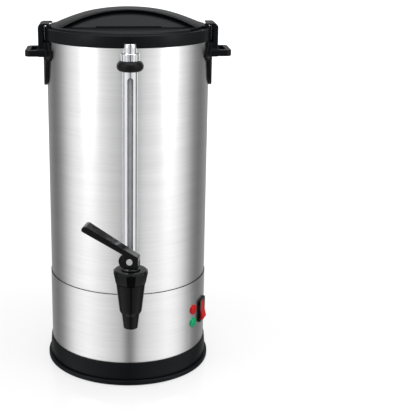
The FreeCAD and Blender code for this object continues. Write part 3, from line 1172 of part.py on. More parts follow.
def make_inlet():
    flange = rounded_plate(INLET_W / 2, INLET_H / 2, INLET_CORNER_R, -INLET_FLANGE_IN, INLET_PROUD)
    shell_cut = on_front(disc(LOWER_R + PIN_GAP, -INLET_H, INLET_H)).translated(V(0, 0, -LOWER_R))
    flange = flange.cut(shell_cut)
    body = rounded_plate(INLET_BODY_W / 2, INLET_BODY_H / 2, INLET_BODY_CORNER_R, -INLET_DEPTH, OVER)
    half_w, half_h = INLET_SOCKET_W / 2, INLET_SOCKET_H / 2
    cut = INLET_SOCKET_CUT
    floor_z = INLET_PROUD - INLET_SOCKET_DEPTH
    mouth = outline([(-half_w, -half_h), (half_w, -half_h), (half_w, half_h - cut),
                     (half_w - cut, half_h), (cut - half_w, half_h), (-half_w, half_h - cut)],
                    lambda x, y: V(x, y, floor_z)).extrude(V(0, 0, INLET_SOCKET_DEPTH + OVER))
    shroud = flange.fuse(body).cut(mouth)
    screws = []
    for x in (-INLET_SCREW_X, INLET_SCREW_X):
        shroud = shroud.cut(disc(INLET_SCREW_R + PIN_GAP, -INLET_DEPTH, INLET_PROUD + OVER, x))
        shank = disc(INLET_SCREW_R, -INLET_SCREW_L, INLET_PROUD, x)
        head = disc(INLET_SCREW_HEAD_R, INLET_PROUD, INLET_PROUD + INLET_SCREW_HEAD_H, x)
        top = INLET_PROUD + INLET_SCREW_HEAD_H
        across = block(-CROSS_HALF_L, CROSS_HALF_L, -CROSS_HALF_W, CROSS_HALF_W,
                       top - CROSS_DEPTH, top + OVER)
        cross = across.fuse(round_about(across, 90)).translated(V(x, 0, 0))
        screws.append(on_wall(shank.fuse(head).cut(cross), 180.0, LOWER_R, INLET_Z))
    pins = []
    for x, y in inlet_contacts():
        pin = block(x - INLET_PIN_W / 2, x + INLET_PIN_W / 2, y - INLET_PIN_H / 2, y + INLET_PIN_H / 2,
                    floor_z, floor_z + INLET_PIN_L)
        pins.append(on_wall(pin, 180.0, LOWER_R, INLET_Z))
    return {"power_inlet": [on_wall(shroud, 180.0, LOWER_R, INLET_Z)], "inlet_pins": pins,
            "inlet_screws": screws}


def make_heater():
    plate = disc(HEAT_PLATE_R, HEAT_Z, TANK_Z)
    coil = Part.makeTorus(COIL_R, COIL_TUBE_R, V(0, 0, COIL_Z), UP)
    coil = coil.cut(block(0, 2 * COIL_R, -COIL_GAP_HALF, COIL_GAP_HALF,
                          COIL_Z - 2 * COIL_TUBE_R, COIL_Z + 2 * COIL_TUBE_R))
    leads = [disc(LEAD_R, COIL_Z - LEAD_L, COIL_Z, COIL_R, y) for y in (-LEAD_Y, LEAD_Y)]
    coil = fused([coil] + leads)
    reach = COIL_R + COIL_TUBE_R + CLAMP_REACH
    strap_z = COIL_Z - COIL_TUBE_R
    strap = block(reach - CLAMP_L, reach, -CLAMP_W / 2, CLAMP_W / 2, strap_z - CLAMP_T, strap_z)
    foot = block(reach - CLAMP_T, reach, -CLAMP_W / 2, CLAMP_W / 2, strap_z - CLAMP_T, HEAT_Z)
    clamps = polar_copies(strap.fuse(foot), CLAMP_COUNT, CLAMP_START_DEG)
    thermostats = []
    flange_z = HEAT_Z - THERMO_FLANGE_T
    for x in (-THERMO_X, THERMO_X):
        can = disc(THERMO_R, HEAT_Z - THERMO_H, flange_z, x)
        thermostats.append(can.fuse(disc(THERMO_FLANGE_R, flange_z, HEAT_Z, x)))
    cutout = block(-CUTOUT_L / 2, CUTOUT_L / 2, CUTOUT_Y - CUTOUT_W / 2, CUTOUT_Y + CUTOUT_W / 2,
                   HEAT_Z - CUTOUT_H, HEAT_Z)
    floor_z = BASE_PLATE_Z + TANK_T
    top_z = floor_z + BLOCK_H
    terminal = block(-BLOCK_L / 2, BLOCK_L / 2, BLOCK_Y - BLOCK_W / 2, BLOCK_Y + BLOCK_W / 2,
                     floor_z, top_z)
    wells = [disc(WELL_R, top_z - WELL_DEPTH, top_z + OVER, i * WELL_PITCH, BLOCK_Y + y)
             for i in (-2, -1, 0, 1, 2) for y in (-WELL_ROW, WELL_ROW)]
    terminal = terminal.cut(fused(wells))
    return {"heat_plate": [plate], "heating_coil": [coil], "coil_clamps": clamps,
            "thermal_cutout": [cutout], "terminal_block": [terminal], "thermostats": thermostats,
            "wiring": make_wiring(top_z - WIRE_IN_WELL)}


def make_wiring(end_z):
    """Insulated leads from the inlet, switch and heater down into the terminal block's wells."""
    runs = []
    inlet_y = LOWER_R - INLET_DEPTH - TAB_L - WIRE_GAP
    inlet_z = INLET_Z - INLET_PIN_STEP / 2
    well_y = BLOCK_Y + WELL_ROW
    for i in (-1, 0, 1):
        x, well_x = i * INLET_PIN_PITCH, i * WELL_PITCH
        runs.append([(x, inlet_y, inlet_z), (x, inlet_y - WIRE_OUT, inlet_z),
                     (well_x, well_y, inlet_z - INLET_WIRE_FALL), (well_x, well_y, end_z)])
    angle = math.radians(SWITCH_DEG)
    depth = LOWER_R - SWITCH_BODY_DEPTH - TAB_L - WIRE_GAP
    tab = V(depth * math.sin(angle), -depth * math.cos(angle), SWITCH_Z)
    inner = V(SWITCH_WIRE_SHARE * tab.x, SWITCH_WIRE_SHARE * tab.y, SWITCH_Z)
    well_y = BLOCK_Y - WELL_ROW
    for dz, well_x in ((-TAB_PITCH, 2 * WELL_PITCH), (0, WELL_PITCH)):
        runs.append([tab + V(0, 0, dz), inner + V(0, 0, dz),
                     (well_x, well_y, SWITCH_Z + dz - SWITCH_WIRE_FALL), (well_x, well_y, end_z)])
    for y, well_x in ((-LEAD_Y, -2 * WELL_PITCH), (LEAD_Y, -WELL_PITCH)):
        runs.append([(COIL_R, y, COIL_Z - LEAD_L - WIRE_GAP / 2), (COIL_R, y, COIL_Z - LEAD_WIRE_FALL - y),
                     (well_x, well_y, COIL_Z - LEAD_WIRE_END - y), (well_x, well_y, end_z)])
    return [wire_run(points, WIRE_BEND_R, WIRE_R) for points in runs]


def sieve_holes(rows, pitch, z0, z1):
    """Rings of holes between the basket's sleeve and its wall."""
    step = (BASKET_R - BASKET_SLEEVE_R) / (rows + 1)
    holes = []
    for i in range(rows):
        radius = BASKET_SLEEVE_R + (i + 1) * step
        holes += polar_copies(disc(BASKET_HOLE_R, z0, z1, radius), round(2 * math.pi * radius / pitch))
    return Part.makeCompound(holes)


def make_basket():
    foot_top = TANK_FLOOR_Z + PUMP_FOOT_H
    cone = turned([(PUMP_BORE_R, foot_top + PUMP_NECK_H), (PUMP_R, foot_top + PUMP_NECK_H),
                   (PUMP_R, foot_top), (PUMP_FOOT_R, TANK_FLOOR_Z),
                   (PUMP_FOOT_R - PUMP_FOOT_T, TANK_FLOOR_Z), (PUMP_BORE_R, foot_top - PUMP_FOOT_T / 2)])
    slit = block(PUMP_FOOT_R - SLIT_L, PUMP_FOOT_R + OVER, -SLIT_W / 2, SLIT_W / 2,
                 TANK_FLOOR_Z - OVER, TANK_FLOOR_Z + SLIT_H)
    tube = ring(PUMP_BORE_R, PUMP_R, foot_top, PUMP_TOP_Z)
    shoulder = ring(PUMP_BORE_R, SHOULDER_R, BASKET_Z - SHOULDER_H, BASKET_Z)
    pump = fused([cone, tube, shoulder]).cut(fused(polar_copies(slit, SLIT_COUNT))).removeSplitter()

    sleeve_in = PUMP_R + MOVE_GAP
    top = BASKET_Z + BASKET_H
    rim_r = BASKET_R + BASKET_RIM_W
    inner_r = BASKET_R - BASKET_T
    floor_z = BASKET_Z + BASKET_T
    sleeve_z = top - BASKET_SLEEVE_DROP
    basket = turned([
        (sleeve_in, BASKET_Z), (BASKET_R, BASKET_Z), (BASKET_R, top - BASKET_T), (rim_r, top - BASKET_T),
        (rim_r, top), (inner_r, top), (inner_r, floor_z), (BASKET_SLEEVE_R, floor_z),
        (BASKET_SLEEVE_R, sleeve_z), (sleeve_in, sleeve_z)])
    basket = basket.cut(sieve_holes(BASKET_ROWS, BASKET_HOLE_PITCH, BASKET_Z - OVER, floor_z + OVER))

    low_z = top + NEST_GAP
    dish_z = low_z - SPREADER_DIP
    dish_r = inner_r - MOVE_GAP - SPREADER_STEP
    spreader = turned([
        (sleeve_in, dish_z), (dish_r, dish_z), (dish_r, low_z), (rim_r, low_z),
        (rim_r, low_z + SPREADER_RIM), (rim_r - BASKET_T, low_z + SPREADER_RIM),
        (rim_r - BASKET_T, low_z + BASKET_T), (dish_r - BASKET_T, low_z + BASKET_T),
        (dish_r - BASKET_T, dish_z + BASKET_T), (sleeve_in, dish_z + BASKET_T)])
    spreader = spreader.cut(sieve_holes(SPREADER_ROWS, SPREADER_HOLE_PITCH, dish_z - OVER, low_z))
    return {"pump_tube": [pump], "coffee_basket": [basket], "basket_spreader": [spreader]}


def main():
    os.makedirs("parts", exist_ok=True)
    makers = (make_base, make_shells, make_tank, make_collar, make_lid, make_handles, make_gauge,
              make_shank, make_tap_body, make_valve, make_switch, make_lamps, make_inlet,
              make_heater, make_basket)
    for maker in makers:
        for node, solids in maker().items():
            shape = solids[0] if len(solids) == 1 else Part.makeCompound(solids)
            shape.exportStep("parts/" + node + ".step")
            box = shape.BoundBox
            print(node, len(shape.Solids), "solids", round(shape.Volume), "mm3, z",
                  round(box.ZMin, 2), "to", round(box.ZMax, 2), "" if shape.isValid() else "INVALID")


main()
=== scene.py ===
"""Looks of a coffee urn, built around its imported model.

The urn has a double-walled steel body, a twist-lock lid with a bridge-shaped grip, two side
handles, a sight gauge, a lever tap and a lit switch. Metres; +Z is up and the tap faces -Y.
"""

import json
import logging
import math
from dataclasses import dataclass
from enum import Enum
from typing import Any, Callable, Iterable, Sequence

import bmesh
import bpy
from mathutils import Matrix, Vector


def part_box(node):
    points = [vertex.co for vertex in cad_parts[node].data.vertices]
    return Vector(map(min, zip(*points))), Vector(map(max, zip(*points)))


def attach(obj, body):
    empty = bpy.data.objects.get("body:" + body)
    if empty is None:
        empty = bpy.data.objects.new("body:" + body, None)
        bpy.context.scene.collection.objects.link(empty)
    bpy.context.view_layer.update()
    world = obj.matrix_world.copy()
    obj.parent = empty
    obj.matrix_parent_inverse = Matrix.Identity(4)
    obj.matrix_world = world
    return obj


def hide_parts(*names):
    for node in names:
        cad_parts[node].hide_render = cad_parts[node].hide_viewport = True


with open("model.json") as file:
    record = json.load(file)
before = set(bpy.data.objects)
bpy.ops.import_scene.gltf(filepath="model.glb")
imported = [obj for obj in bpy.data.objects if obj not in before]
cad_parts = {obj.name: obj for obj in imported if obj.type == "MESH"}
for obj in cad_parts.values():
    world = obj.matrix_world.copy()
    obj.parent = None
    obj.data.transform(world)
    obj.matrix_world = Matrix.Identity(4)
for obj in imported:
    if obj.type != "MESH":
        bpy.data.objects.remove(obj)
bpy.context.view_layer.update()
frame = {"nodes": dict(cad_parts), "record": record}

log = logging.getLogger("urn")
Colour = tuple[float, float, float]
Corner = tuple[float, ...]
MM = 0.001
NEST_GAP = 0.15 * MM


class Slot(str, Enum):
    """Material slots of the record."""

    BRUSHED_STEEL = "brushed_steel"
    INNER_STEEL = "inner_steel"
    ZINC_STEEL = "zinc_steel"
    BLACK_PLASTIC = "black_plastic"
    GLOSS_BLACK = "gloss_black"
    CHROME = "chrome"
    RUBBER = "rubber"
    SILICONE = "silicone"
    BLANKET_WHITE = "blanket_white"
    LINER_CREAM = "liner_cream"
    LINER_GREY = "liner_grey"
    ALUMINIUM = "aluminium"
    BRASS = "brass"
    GLASS = "glass"
    RED_CLEAR = "red_clear"
    GREEN_CLEAR = "green_clear"
    WIRE_JACKET = "wire_jacket"
    MICA = "mica"


class Body(str, Enum):
    """Moving bodies of the urn."""

    ROOT = "root"
    LID_COVER = "lid_cover"
    TAP_GUIDE = "tap_guide"
    TAP_LEVER = "tap_lever"
    SWITCH_ROCKER = "switch_rocker"


def grey(level: float) -> Colour:
    """Neutral colour of a brightness."""
    return (level, level, level)


class Socket:
    """One output of a shader node. Arithmetic on it adds Math nodes."""

    def __init__(self, shader: "Shader", output: bpy.types.NodeSocket) -> None:
        """Wraps an output of one of the shader's nodes."""
        self.shader = shader
        self.output = output

    def math(self, operation: str, *values: "Socket | float") -> "Socket":
        """Adds one Math node.

        Args:
            operation: the node's operation.
            values: its inputs, in order.

        Returns:
            The node's result.
        """
        return self.shader.add("ShaderNodeMath", dict(enumerate(values)), operation=operation)

    def __add__(self, other: "Socket | float") -> "Socket":
        """self + other."""
        return self.math("ADD", self, other)

    __radd__ = __add__

    def __sub__(self, other: "Socket | float") -> "Socket":
        """self - other."""
        return self.math("SUBTRACT", self, other)

    def __rsub__(self, other: float) -> "Socket":
        """other - self."""
        return self.math("SUBTRACT", other, self)

    def __mul__(self, other: "Socket | float") -> "Socket":
        """self * other."""
        return self.math("MULTIPLY", self, other)

    __rmul__ = __mul__

    def __truediv__(self, other: "Socket | float") -> "Socket":
        """self / other."""
        return self.math("DIVIDE", self, other)

    def __rtruediv__(self, other: float) -> "Socket":
        """other / self."""
        return self.math("DIVIDE", other, self)

    def __abs__(self) -> "Socket":
        """Distance from zero."""
        return self.math("ABSOLUTE", self)

    def between(self, low: float, high: float) -> "Socket":
        """Smooth step from 0 at low to 1 at high."""
        inputs = {"Value": self, "From Min": low, "From Max": high}
        return self.shader.add("ShaderNodeMapRange", inputs, interpolation_type="SMOOTHSTEP")


class Shader:
    """Node tree of a material or of the world, written as expressions."""

    def __init__(self, owner: bpy.types.Material | bpy.types.World) -> None:
        """Clears the owner's node tree.

        Args:
            owner: the material or world that the nodes belong to.
        """
        owner.use_nodes = True
        self.tree = owner.node_tree
        self.tree.nodes.clear()

    def add(self, kind: str, inputs: dict[Any, Any] | None = None, output: str | int = 0,
            **settings: Any) -> Socket:
        """Adds any node.

        Args:
            kind: the node's type.
            inputs: values or links of its sockets, by name or number.
            output: the output to hand back, by name or number.
            settings: the node's own settings; stops are a ramp's places and greys.

        Returns:
            The chosen output.
        """
        node = self.tree.nodes.new(kind)
        for name, value in settings.items():
            if name == "stops":
                self.set_stops(node.color_ramp, value)
            else:
                setattr(node, name, value)
        for name, value in (inputs or {}).items():
            if isinstance(value, Socket):
                self.tree.links.new(value.output, node.inputs[name])
            else:
                node.inputs[name].default_value = value
        return Socket(self, node.outputs[output] if len(node.outputs) else None)

    @staticmethod
    def set_stops(ramp: bpy.types.ColorRamp, stops: Sequence[tuple[float, float]]) -> None:
        """Sets a ramp of greys.

        Args:
            ramp: the ramp to fill.
            stops: place and grey of each stop, in order.
        """
        ramp.interpolation = "EASE"
        while len(ramp.elements) < len(stops):
            ramp.elements.new(1.0)
        for element, (place, level) in zip(ramp.elements, stops):
            element.position = place
            element.color = (*grey(level), 1.0)

    def place(self, stretch: Sequence[float] = (1.0, 1.0, 1.0)) -> Socket:
        """Point on the surface, in the piece's own metres.

        Args:
            stretch: factor on each axis.

        Returns:
            The point as a vector.
        """
        point = self.add("ShaderNodeTexCoord", output="Object")
        return self.add("ShaderNodeVectorMath", {0: point, 1: tuple(stretch)}, operation="MULTIPLY")

    def noise(self, scale: float, stretch: Sequence[float] = (1.0, 1.0, 1.0), detail: float = 2.0,
              roughness: float = 0.5) -> Socket:
        """Cloudy noise from 0 to 1 with its middle near 0.5.

        Args:
            scale: grains per metre.
            stretch: factor on each axis, below 1 for streaks along it.
            detail: octaves.
            roughness: weight of the finer octaves.

        Returns:
            The noise.
        """
        inputs = {"Vector": self.place(stretch), "Scale": scale, "Detail": detail, "Roughness": roughness}
        return self.add("ShaderNodeTexNoise", inputs)

    def mix(self, factor: Socket | float, first: Any, second: Any) -> Socket:
        """Blend of two colours.

        Args:
            factor: 0 for the first colour and 1 for the second.
            first: a colour or a link.
            second: a colour or a link.

        Returns:
            The blended colour.
        """
        inputs = {0: factor, 6: self.solid(first), 7: self.solid(second)}
        return self.add("ShaderNodeMix", inputs, output=2, data_type="RGBA")

    @staticmethod
    def solid(colour: Any) -> Any:
        """A colour with its alpha, or the link as it is."""
        return colour if isinstance(colour, Socket) else (*colour, 1.0)

    def bump(self, height: Socket, depth: float) -> Socket:
        """Normal of a surface with relief.

        Args:
            height: relief from 0 to 1.
            depth: the height of 1, in metres.

        Returns:
            The normal.
        """
        inputs = {"Height": height, "Distance": depth, "Strength": 1.0}
        return self.add("ShaderNodeBump", inputs, output="Normal")

    def principled(self, **sockets: Any) -> Socket:
        """A Principled shader; names of its sockets are written with underscores."""
        inputs = {name.replace("_", " "): value for name, value in sockets.items()}
        return self.add("ShaderNodeBsdfPrincipled", inputs)

    def show(self, surface: Socket, kind: str = "ShaderNodeOutputMaterial") -> None:
        """Connects the finished surface to the output."""
        self.add(kind, {"Surface": surface})


@dataclass(frozen=True)
class Finish:
    """What every finish has.

    Attributes:
        colour: its colour in linear light.
        roughness: its middle roughness.
    """

    colour: Colour
    roughness: float

    def surface(self, shader: Shader) -> Socket:
        """The finish as a shader; each kind of finish writes its own."""
        raise NotImplementedError

    def material(self, slot: Slot) -> bpy.types.Material:
        """Makes the material of a slot.

        Args:
            slot: the slot that it is named after.

        Returns:
            The new material.
        """
        material = bpy.data.materials.new(slot.value)
        shader = Shader(material)
        shader.show(self.surface(shader))
        material.diffuse_color = (*self.colour, 1.0)
        return material

    def shade(self, factor: float) -> Colour:
        """The finish's colour, lighter or darker by a factor."""
        return tuple(channel * factor for channel in self.colour)


@dataclass(frozen=True)
class BrushedMetal(Finish):
    """Sheet brushed in rings about the urn's axis.

    Attributes:
        anisotropy: how much more the gloss spreads across the brushing than along it.
        streaks: brush marks per metre of height.
        streak_length: length of a brush mark, in metres.
        depth: depth of a brush mark, in metres.
    """

    anisotropy: float = 0.7
    streaks: float = 900.0
    streak_length: float = 0.05
    depth: float = 2.0e-5

    def surface(self, shader: Shader) -> Socket:
        """Fine and coarse brush marks that vary colour, gloss and relief."""
        along = 1.0 / (self.streaks * self.streak_length)
        fine = shader.noise(self.streaks, (along, along, 1.0), 3.0, 0.6)
        coarse = shader.noise(self.streaks / 8, (along * 2, along * 2, 1.0), 2.0)
        cloud = shader.noise(9.0, detail=3.0)
        marks = fine * 0.65 + coarse * 0.35
        colour = shader.mix(marks.between(0.25, 0.75), self.shade(0.93), self.shade(1.05))
        colour = shader.mix(cloud.between(0.3, 0.8) * 0.25, colour, self.shade(0.94))
        gloss = self.roughness * 0.82 + marks * (self.roughness * 0.3) + cloud * 0.03
        return shader.principled(Base_Color=colour, Metallic=1.0, Roughness=gloss,
                                 Anisotropic=self.anisotropy, Anisotropic_Rotation=0.25,
                                 Normal=shader.bump(marks, self.depth))


@dataclass(frozen=True)
class PlainMetal(Finish):
    """Polished, plated or mill-finished metal.

    Attributes:
        smudge: how far the roughness varies.
        grain: marks per metre.
        depth: depth of the marks, in metres.
    """

    smudge: float = 0.06
    grain: float = 260.0
    depth: float = 1.0e-5

    def surface(self, shader: Shader) -> Socket:
        """Even metal with faint handling marks."""
        cloud = shader.noise(self.grain / 6, detail=4.0)
        marks = shader.noise(self.grain, detail=4.0, roughness=0.6)
        colour = shader.mix(cloud.between(0.35, 0.75), self.shade(0.92), self.colour)
        gloss = self.roughness + (cloud - 0.5) * self.smudge + (marks - 0.5) * (self.smudge / 2)
        return shader.principled(Base_Color=colour, Metallic=1.0, Roughness=gloss,
                                 Normal=shader.bump(marks, self.depth))


@dataclass(frozen=True)
class Moulding(Finish):
    """Moulded plastic or rubber.

    Attributes:
        grain: texture grains per metre.
        depth: depth of the grain, in metres.
        coat: weight of a clear gloss over it.
        specular: gloss at a straight look.
        bloom: how much paler the dust in the grain makes it.
    """

    grain: float = 1400.0
    depth: float = 2.5e-5
    coat: float = 0.0
    specular: float = 0.5
    bloom: float = 0.25

    def surface(self, shader: Shader) -> Socket:
        """Spark-eroded grain, slow changes of gloss and a trace of dust."""
        grain = shader.noise(self.grain, detail=3.0, roughness=0.6)
        flow = shader.noise(22.0, (1.0, 1.0, 2.0), 3.0)
        dust = shader.noise(120.0, detail=5.0, roughness=0.65).between(0.56, 0.8)
        colour = shader.mix(flow.between(0.3, 0.7), self.colour, self.shade(1.0 + self.bloom))
        colour = shader.mix(dust * (0.5 * self.bloom), colour, self.shade(1.8))
        gloss = self.roughness - 0.05 + flow * 0.06 + grain * 0.04 + dust * 0.05
        return shader.principled(Base_Color=colour, Roughness=gloss, Specular_IOR_Level=self.specular,
                                 Coat_Weight=self.coat, Coat_Roughness=0.08,
                                 Normal=shader.bump(grain, self.depth))


@dataclass(frozen=True)
class Clear(Finish):
    """Glass or tinted clear plastic.

    Attributes:
        transmission: share of light that passes through.
        ior: index of refraction.
        glow: strength of the tint's own light, a painted glow that stands in for bright surroundings
            shining through a lens.
        specular: gloss at a straight look.
        depth: depth of the faint ripple, in metres.
    """

    transmission: float = 0.5
    ior: float = 1.47
    glow: float = 0.0
    specular: float = 0.2
    depth: float = 1.0e-5

    def surface(self, shader: Shader) -> Socket:
        """Even tint with a faint ripple from the mould."""
        ripple = shader.noise(180.0, (1.0, 1.0, 0.4), 2.0)
        cloud = shader.noise(60.0, detail=3.0)
        colour = shader.mix(cloud.between(0.3, 0.7), self.colour, self.shade(0.85))
        gloss = self.roughness + cloud * 0.03
        # Painted light: the emission makes the tint glow as if bright surroundings shone through it.
        return shader.principled(Base_Color=colour, Roughness=gloss, IOR=self.ior,
                                 Specular_IOR_Level=self.specular,
                                 Transmission_Weight=self.transmission,
                                 Emission_Color=shader.solid(self.colour),
                                 Emission_Strength=self.glow, Normal=shader.bump(ripple, self.depth))


@dataclass(frozen=True)
class Fibre(Finish):
    """Felt, board or glass-fibre blanket.

    Attributes:
        strands: strands per metre.
        depth: depth of the nap, in metres.
    """

    strands: float = 700.0
    depth: float = 3.0e-4

    def surface(self, shader: Shader) -> Socket:
        """Crossed strands with soft hollows between them."""
        lying = shader.noise(self.strands, (0.12, 0.12, 1.0), 3.0, 0.6)
        standing = shader.noise(self.strands, (1.0, 1.0, 0.15), 3.0, 0.6)
        tufts = shader.noise(self.strands / 9, detail=3.0)
        nap = lying * 0.4 + standing * 0.3 + tufts * 0.3
        colour = shader.mix(nap.between(0.3, 0.7), self.shade(0.8), self.shade(1.04))
        return shader.principled(Base_Color=colour, Roughness=self.roughness - nap * 0.05,
                                 Specular_IOR_Level=0.2, Normal=shader.bump(nap, self.depth))


FINISHES: dict[Slot, Finish] = {
    Slot.BRUSHED_STEEL: BrushedMetal((0.885, 0.885, 0.885), 0.30),
    Slot.INNER_STEEL: BrushedMetal((0.66, 0.66, 0.665), 0.30, 0.3, 600.0, 0.03),
    Slot.ZINC_STEEL: PlainMetal((0.62, 0.63, 0.65), 0.34, 0.14),
    Slot.BLACK_PLASTIC: Moulding((0.0036, 0.0042, 0.0052), 0.33, specular=0.13),
    Slot.GLOSS_BLACK: Moulding((0.0018, 0.0020, 0.0024), 0.16, 900.0, 6.0e-6, 0.1, 0.12),
    Slot.CHROME: PlainMetal((0.86, 0.87, 0.89), 0.08, 0.04),
    Slot.RUBBER: Moulding((0.004, 0.004, 0.0044), 0.45, 900.0, 2.0e-5, 0.0, 0.16),
    Slot.SILICONE: Moulding((0.62, 0.63, 0.62), 0.45, 500.0, 1.0e-5),
    Slot.BLANKET_WHITE: Fibre((0.78, 0.77, 0.72), 0.95),
    Slot.LINER_CREAM: Fibre((0.70, 0.64, 0.50), 0.85, 1100.0, 8.0e-5),
    Slot.LINER_GREY: Fibre((0.20, 0.20, 0.205), 0.85, 1100.0, 8.0e-5),
    Slot.ALUMINIUM: PlainMetal((0.78, 0.78, 0.79), 0.38, 0.12),
    Slot.BRASS: PlainMetal((0.72, 0.50, 0.22), 0.30, 0.12),
    Slot.GLASS: Clear((0.72, 0.73, 0.74), 0.06, 0.12, 1.47, specular=0.5),
    # The red and green lenses and the red rocker carry a painted glow of 0.10 in their tint.
    Slot.RED_CLEAR: Clear((0.62, 0.0015, 0.003), 0.10, 0.1, 1.49, 0.10),
    Slot.GREEN_CLEAR: Clear((0.001, 0.44, 0.17), 0.14, 0.1, 1.49, 0.10),
    Slot.WIRE_JACKET: Moulding((0.30, 0.05, 0.03), 0.5, 700.0, 1.5e-5),
    Slot.MICA: Fibre((0.42, 0.30, 0.19), 0.6, 400.0, 6.0e-5),
}


def rounded(corners: Sequence[Corner], steps: int = 5) -> list[tuple[float, float]]:
    """Outline with its corners rounded off.

    Args:
        corners: points of two numbers, with a third, a radius, where the corner is round.
        steps: straight steps in each round corner.

    Returns:
        The points of the outline.
    """
    points: list[tuple[float, float]] = []
    for i, corner in enumerate(corners):
        here = Vector(corner[:2])
        if len(corner) < 3:
            points.append(tuple(here))
            continue
        back = (Vector(corners[i - 1][:2]) - here).normalized()
        ahead = (Vector(corners[(i + 1) % len(corners)][:2]) - here).normalized()
        half = back.angle(ahead) / 2
        centre = here + (back + ahead).normalized() * (corner[2] / math.sin(half))
        start = here + back * (corner[2] / math.tan(half)) - centre
        end = here + ahead * (corner[2] / math.tan(half)) - centre
        sweep = start.angle_signed(end)
        for k in range(steps + 1):
            angle = sweep * k / steps
            turn = Matrix.Rotation(-angle, 2)
            points.append(tuple(centre + turn @ start))
    return points


def fan(start: float, end: float, count: int) -> list[float]:
    """Evenly spaced numbers from start to end, both included."""
    return [start + (end - start) * i / (count - 1) for i in range(count)]


def arc(radius: float, start: float, end: float, count: int = 13) -> list[tuple[float, float]]:
    """Arc about the origin.

    Args:
        radius: its radius.
        start: angle of its first point, in degrees.
        end: angle of its last point, in degrees.
        count: how many points it has.

    Returns:
        Its points.
    """
    angles = [math.radians(degrees) for degrees in fan(start, end, count)]
    return [(radius * math.cos(angle), radius * math.sin(angle)) for angle in angles]


class Form:
    """A closed mesh in the making."""

    def __init__(self) -> None:
        """Starts an empty mesh."""
        self.mesh = bmesh.new()

    def skin(self, rows: Iterable[Sequence[Vector]], around: bool = True, closed: bool = False,
             capped: bool = False) -> "Form":
        """Skins rows of points that have the same length.

        Args:
            rows: the rows, in order.
            around: each row is a closed loop.
            closed: the last row meets the first.
            capped: faces close both ends.

        Returns:
            The form itself.
        """
        made = [[self.mesh.verts.new(point) for point in row] for row in rows]
        pairs = list(zip(made, made[1:] + made[:1])) if closed else list(zip(made, made[1:]))
        for near, far in pairs:
            count = len(near)
            for i in range(count if around else count - 1):
                j = (i + 1) % count
                self.mesh.faces.new((near[i], near[j], far[j], far[i]))
        if capped:
            self.mesh.faces.new(made[0])
            self.mesh.faces.new(made[-1])
        return self

    def turned(self, outline: Sequence[tuple[float, float]], steps: int = 160, ring: bool = True,
               reach: Callable[[float, float, float], float] | None = None) -> "Form":
        """Turns an outline about the Z axis.

        Args:
            outline: radius and height of each point.
            steps: steps round the axis.
            ring: the outline is a closed loop; otherwise it runs from the axis to the axis.
            reach: gives the radius from radius, height and angle where it isn't the same all round.

        Returns:
            The form itself.
        """
        rows = []
        for i in range(steps):
            angle = 2 * math.pi * i / steps
            row = []
            for radius, z in outline:
                out = reach(radius, z, angle) if reach else radius
                row.append(Vector((out * math.cos(angle), out * math.sin(angle), z)))
            rows.append(row)
        return self.skin(rows, ring, True)

    def prism(self, outline: Sequence[tuple[float, float]], low: float, high: float) -> "Form":
        """Pulls an outline in X and Y from one height to another."""
        return self.skin([[Vector((x, y, z)) for x, y in outline] for z in (low, high)], capped=True)

    def join(self, other: "Form") -> "Form":
        """Adds another form's faces to this one."""
        taken = bpy.data.meshes.new("taken")
        other.mesh.to_mesh(taken)
        self.mesh.from_mesh(taken)
        bpy.data.meshes.remove(taken)
        other.mesh.free()
        return self

    def moved(self, matrix: Matrix) -> "Form":
        """Moves and turns all that the form holds so far."""
        self.mesh.transform(matrix)
        return self

    def piece(self, name: str, sharp: float = 32.0) -> bpy.types.Object:
        """Ends the form as an object.

        Args:
            name: the object's name.
            sharp: edges over this angle, in degrees, are shaded as sharp.

        Returns:
            The new object, at the origin.
        """
        bmesh.ops.remove_doubles(self.mesh, verts=self.mesh.verts, dist=1e-6)
        bmesh.ops.dissolve_degenerate(self.mesh, edges=self.mesh.edges, dist=1e-7)
        bmesh.ops.recalc_face_normals(self.mesh, faces=self.mesh.faces)
        data = bpy.data.meshes.new(name)
        self.mesh.to_mesh(data)
        self.mesh.free()
        made = bpy.data.objects.new(name, data)
        bpy.context.scene.collection.objects.link(made)
        soften(made, sharp)
        return made


def soften(piece: bpy.types.Object, sharp: float = 32.0) -> None:
    """Smooth shading with sharp edges over an angle, in degrees."""
    piece.data.shade_smooth()
    piece.data.set_sharp_from_angle(angle=math.radians(sharp))


def settle(piece: bpy.types.Object) -> None:
    """Takes a piece's modifiers into its mesh."""
    evaluated = piece.evaluated_get(bpy.context.evaluated_depsgraph_get())
    data = bpy.data.meshes.new_from_object(evaluated)
    piece.modifiers.clear()
    piece.data = data


def cut(piece: bpy.types.Object, cutter: Form) -> None:
    """Cuts a form out of a piece."""
    tool = cutter.piece("cutter")
    modifier = piece.modifiers.new("cut", "BOOLEAN")
    modifier.object = tool
    modifier.solver = "EXACT"
    settle(piece)
    bpy.data.objects.remove(tool)
    soften(piece)


def moulded(name: str, node: str, grain: float, passes: int) -> bpy.types.Object:
    """A node's shape with the soft edges of a moulding.

    Args:
        name: the new piece's name.
        node: the node whose shape it has.
        grain: size of its faces, in metres.
        passes: passes of smoothing, more for rounder edges.

    Returns:
        The new piece.
    """
    data = frame["nodes"][node].data.copy()
    data.materials.clear()
    made = bpy.data.objects.new(name, data)
    bpy.context.scene.collection.objects.link(made)
    mesh = bmesh.new()
    mesh.from_mesh(data)
    bmesh.ops.remove_doubles(mesh, verts=mesh.verts, dist=1e-6)
    mesh.to_mesh(data)
    mesh.free()
    remesh = made.modifiers.new("grain", "REMESH")
    remesh.mode = "VOXEL"
    remesh.voxel_size = grain
    smooth = made.modifiers.new("smooth", "SMOOTH")
    smooth.factor = 0.5
    smooth.iterations = passes
    settle(made)
    soften(made, 60.0)
    return made


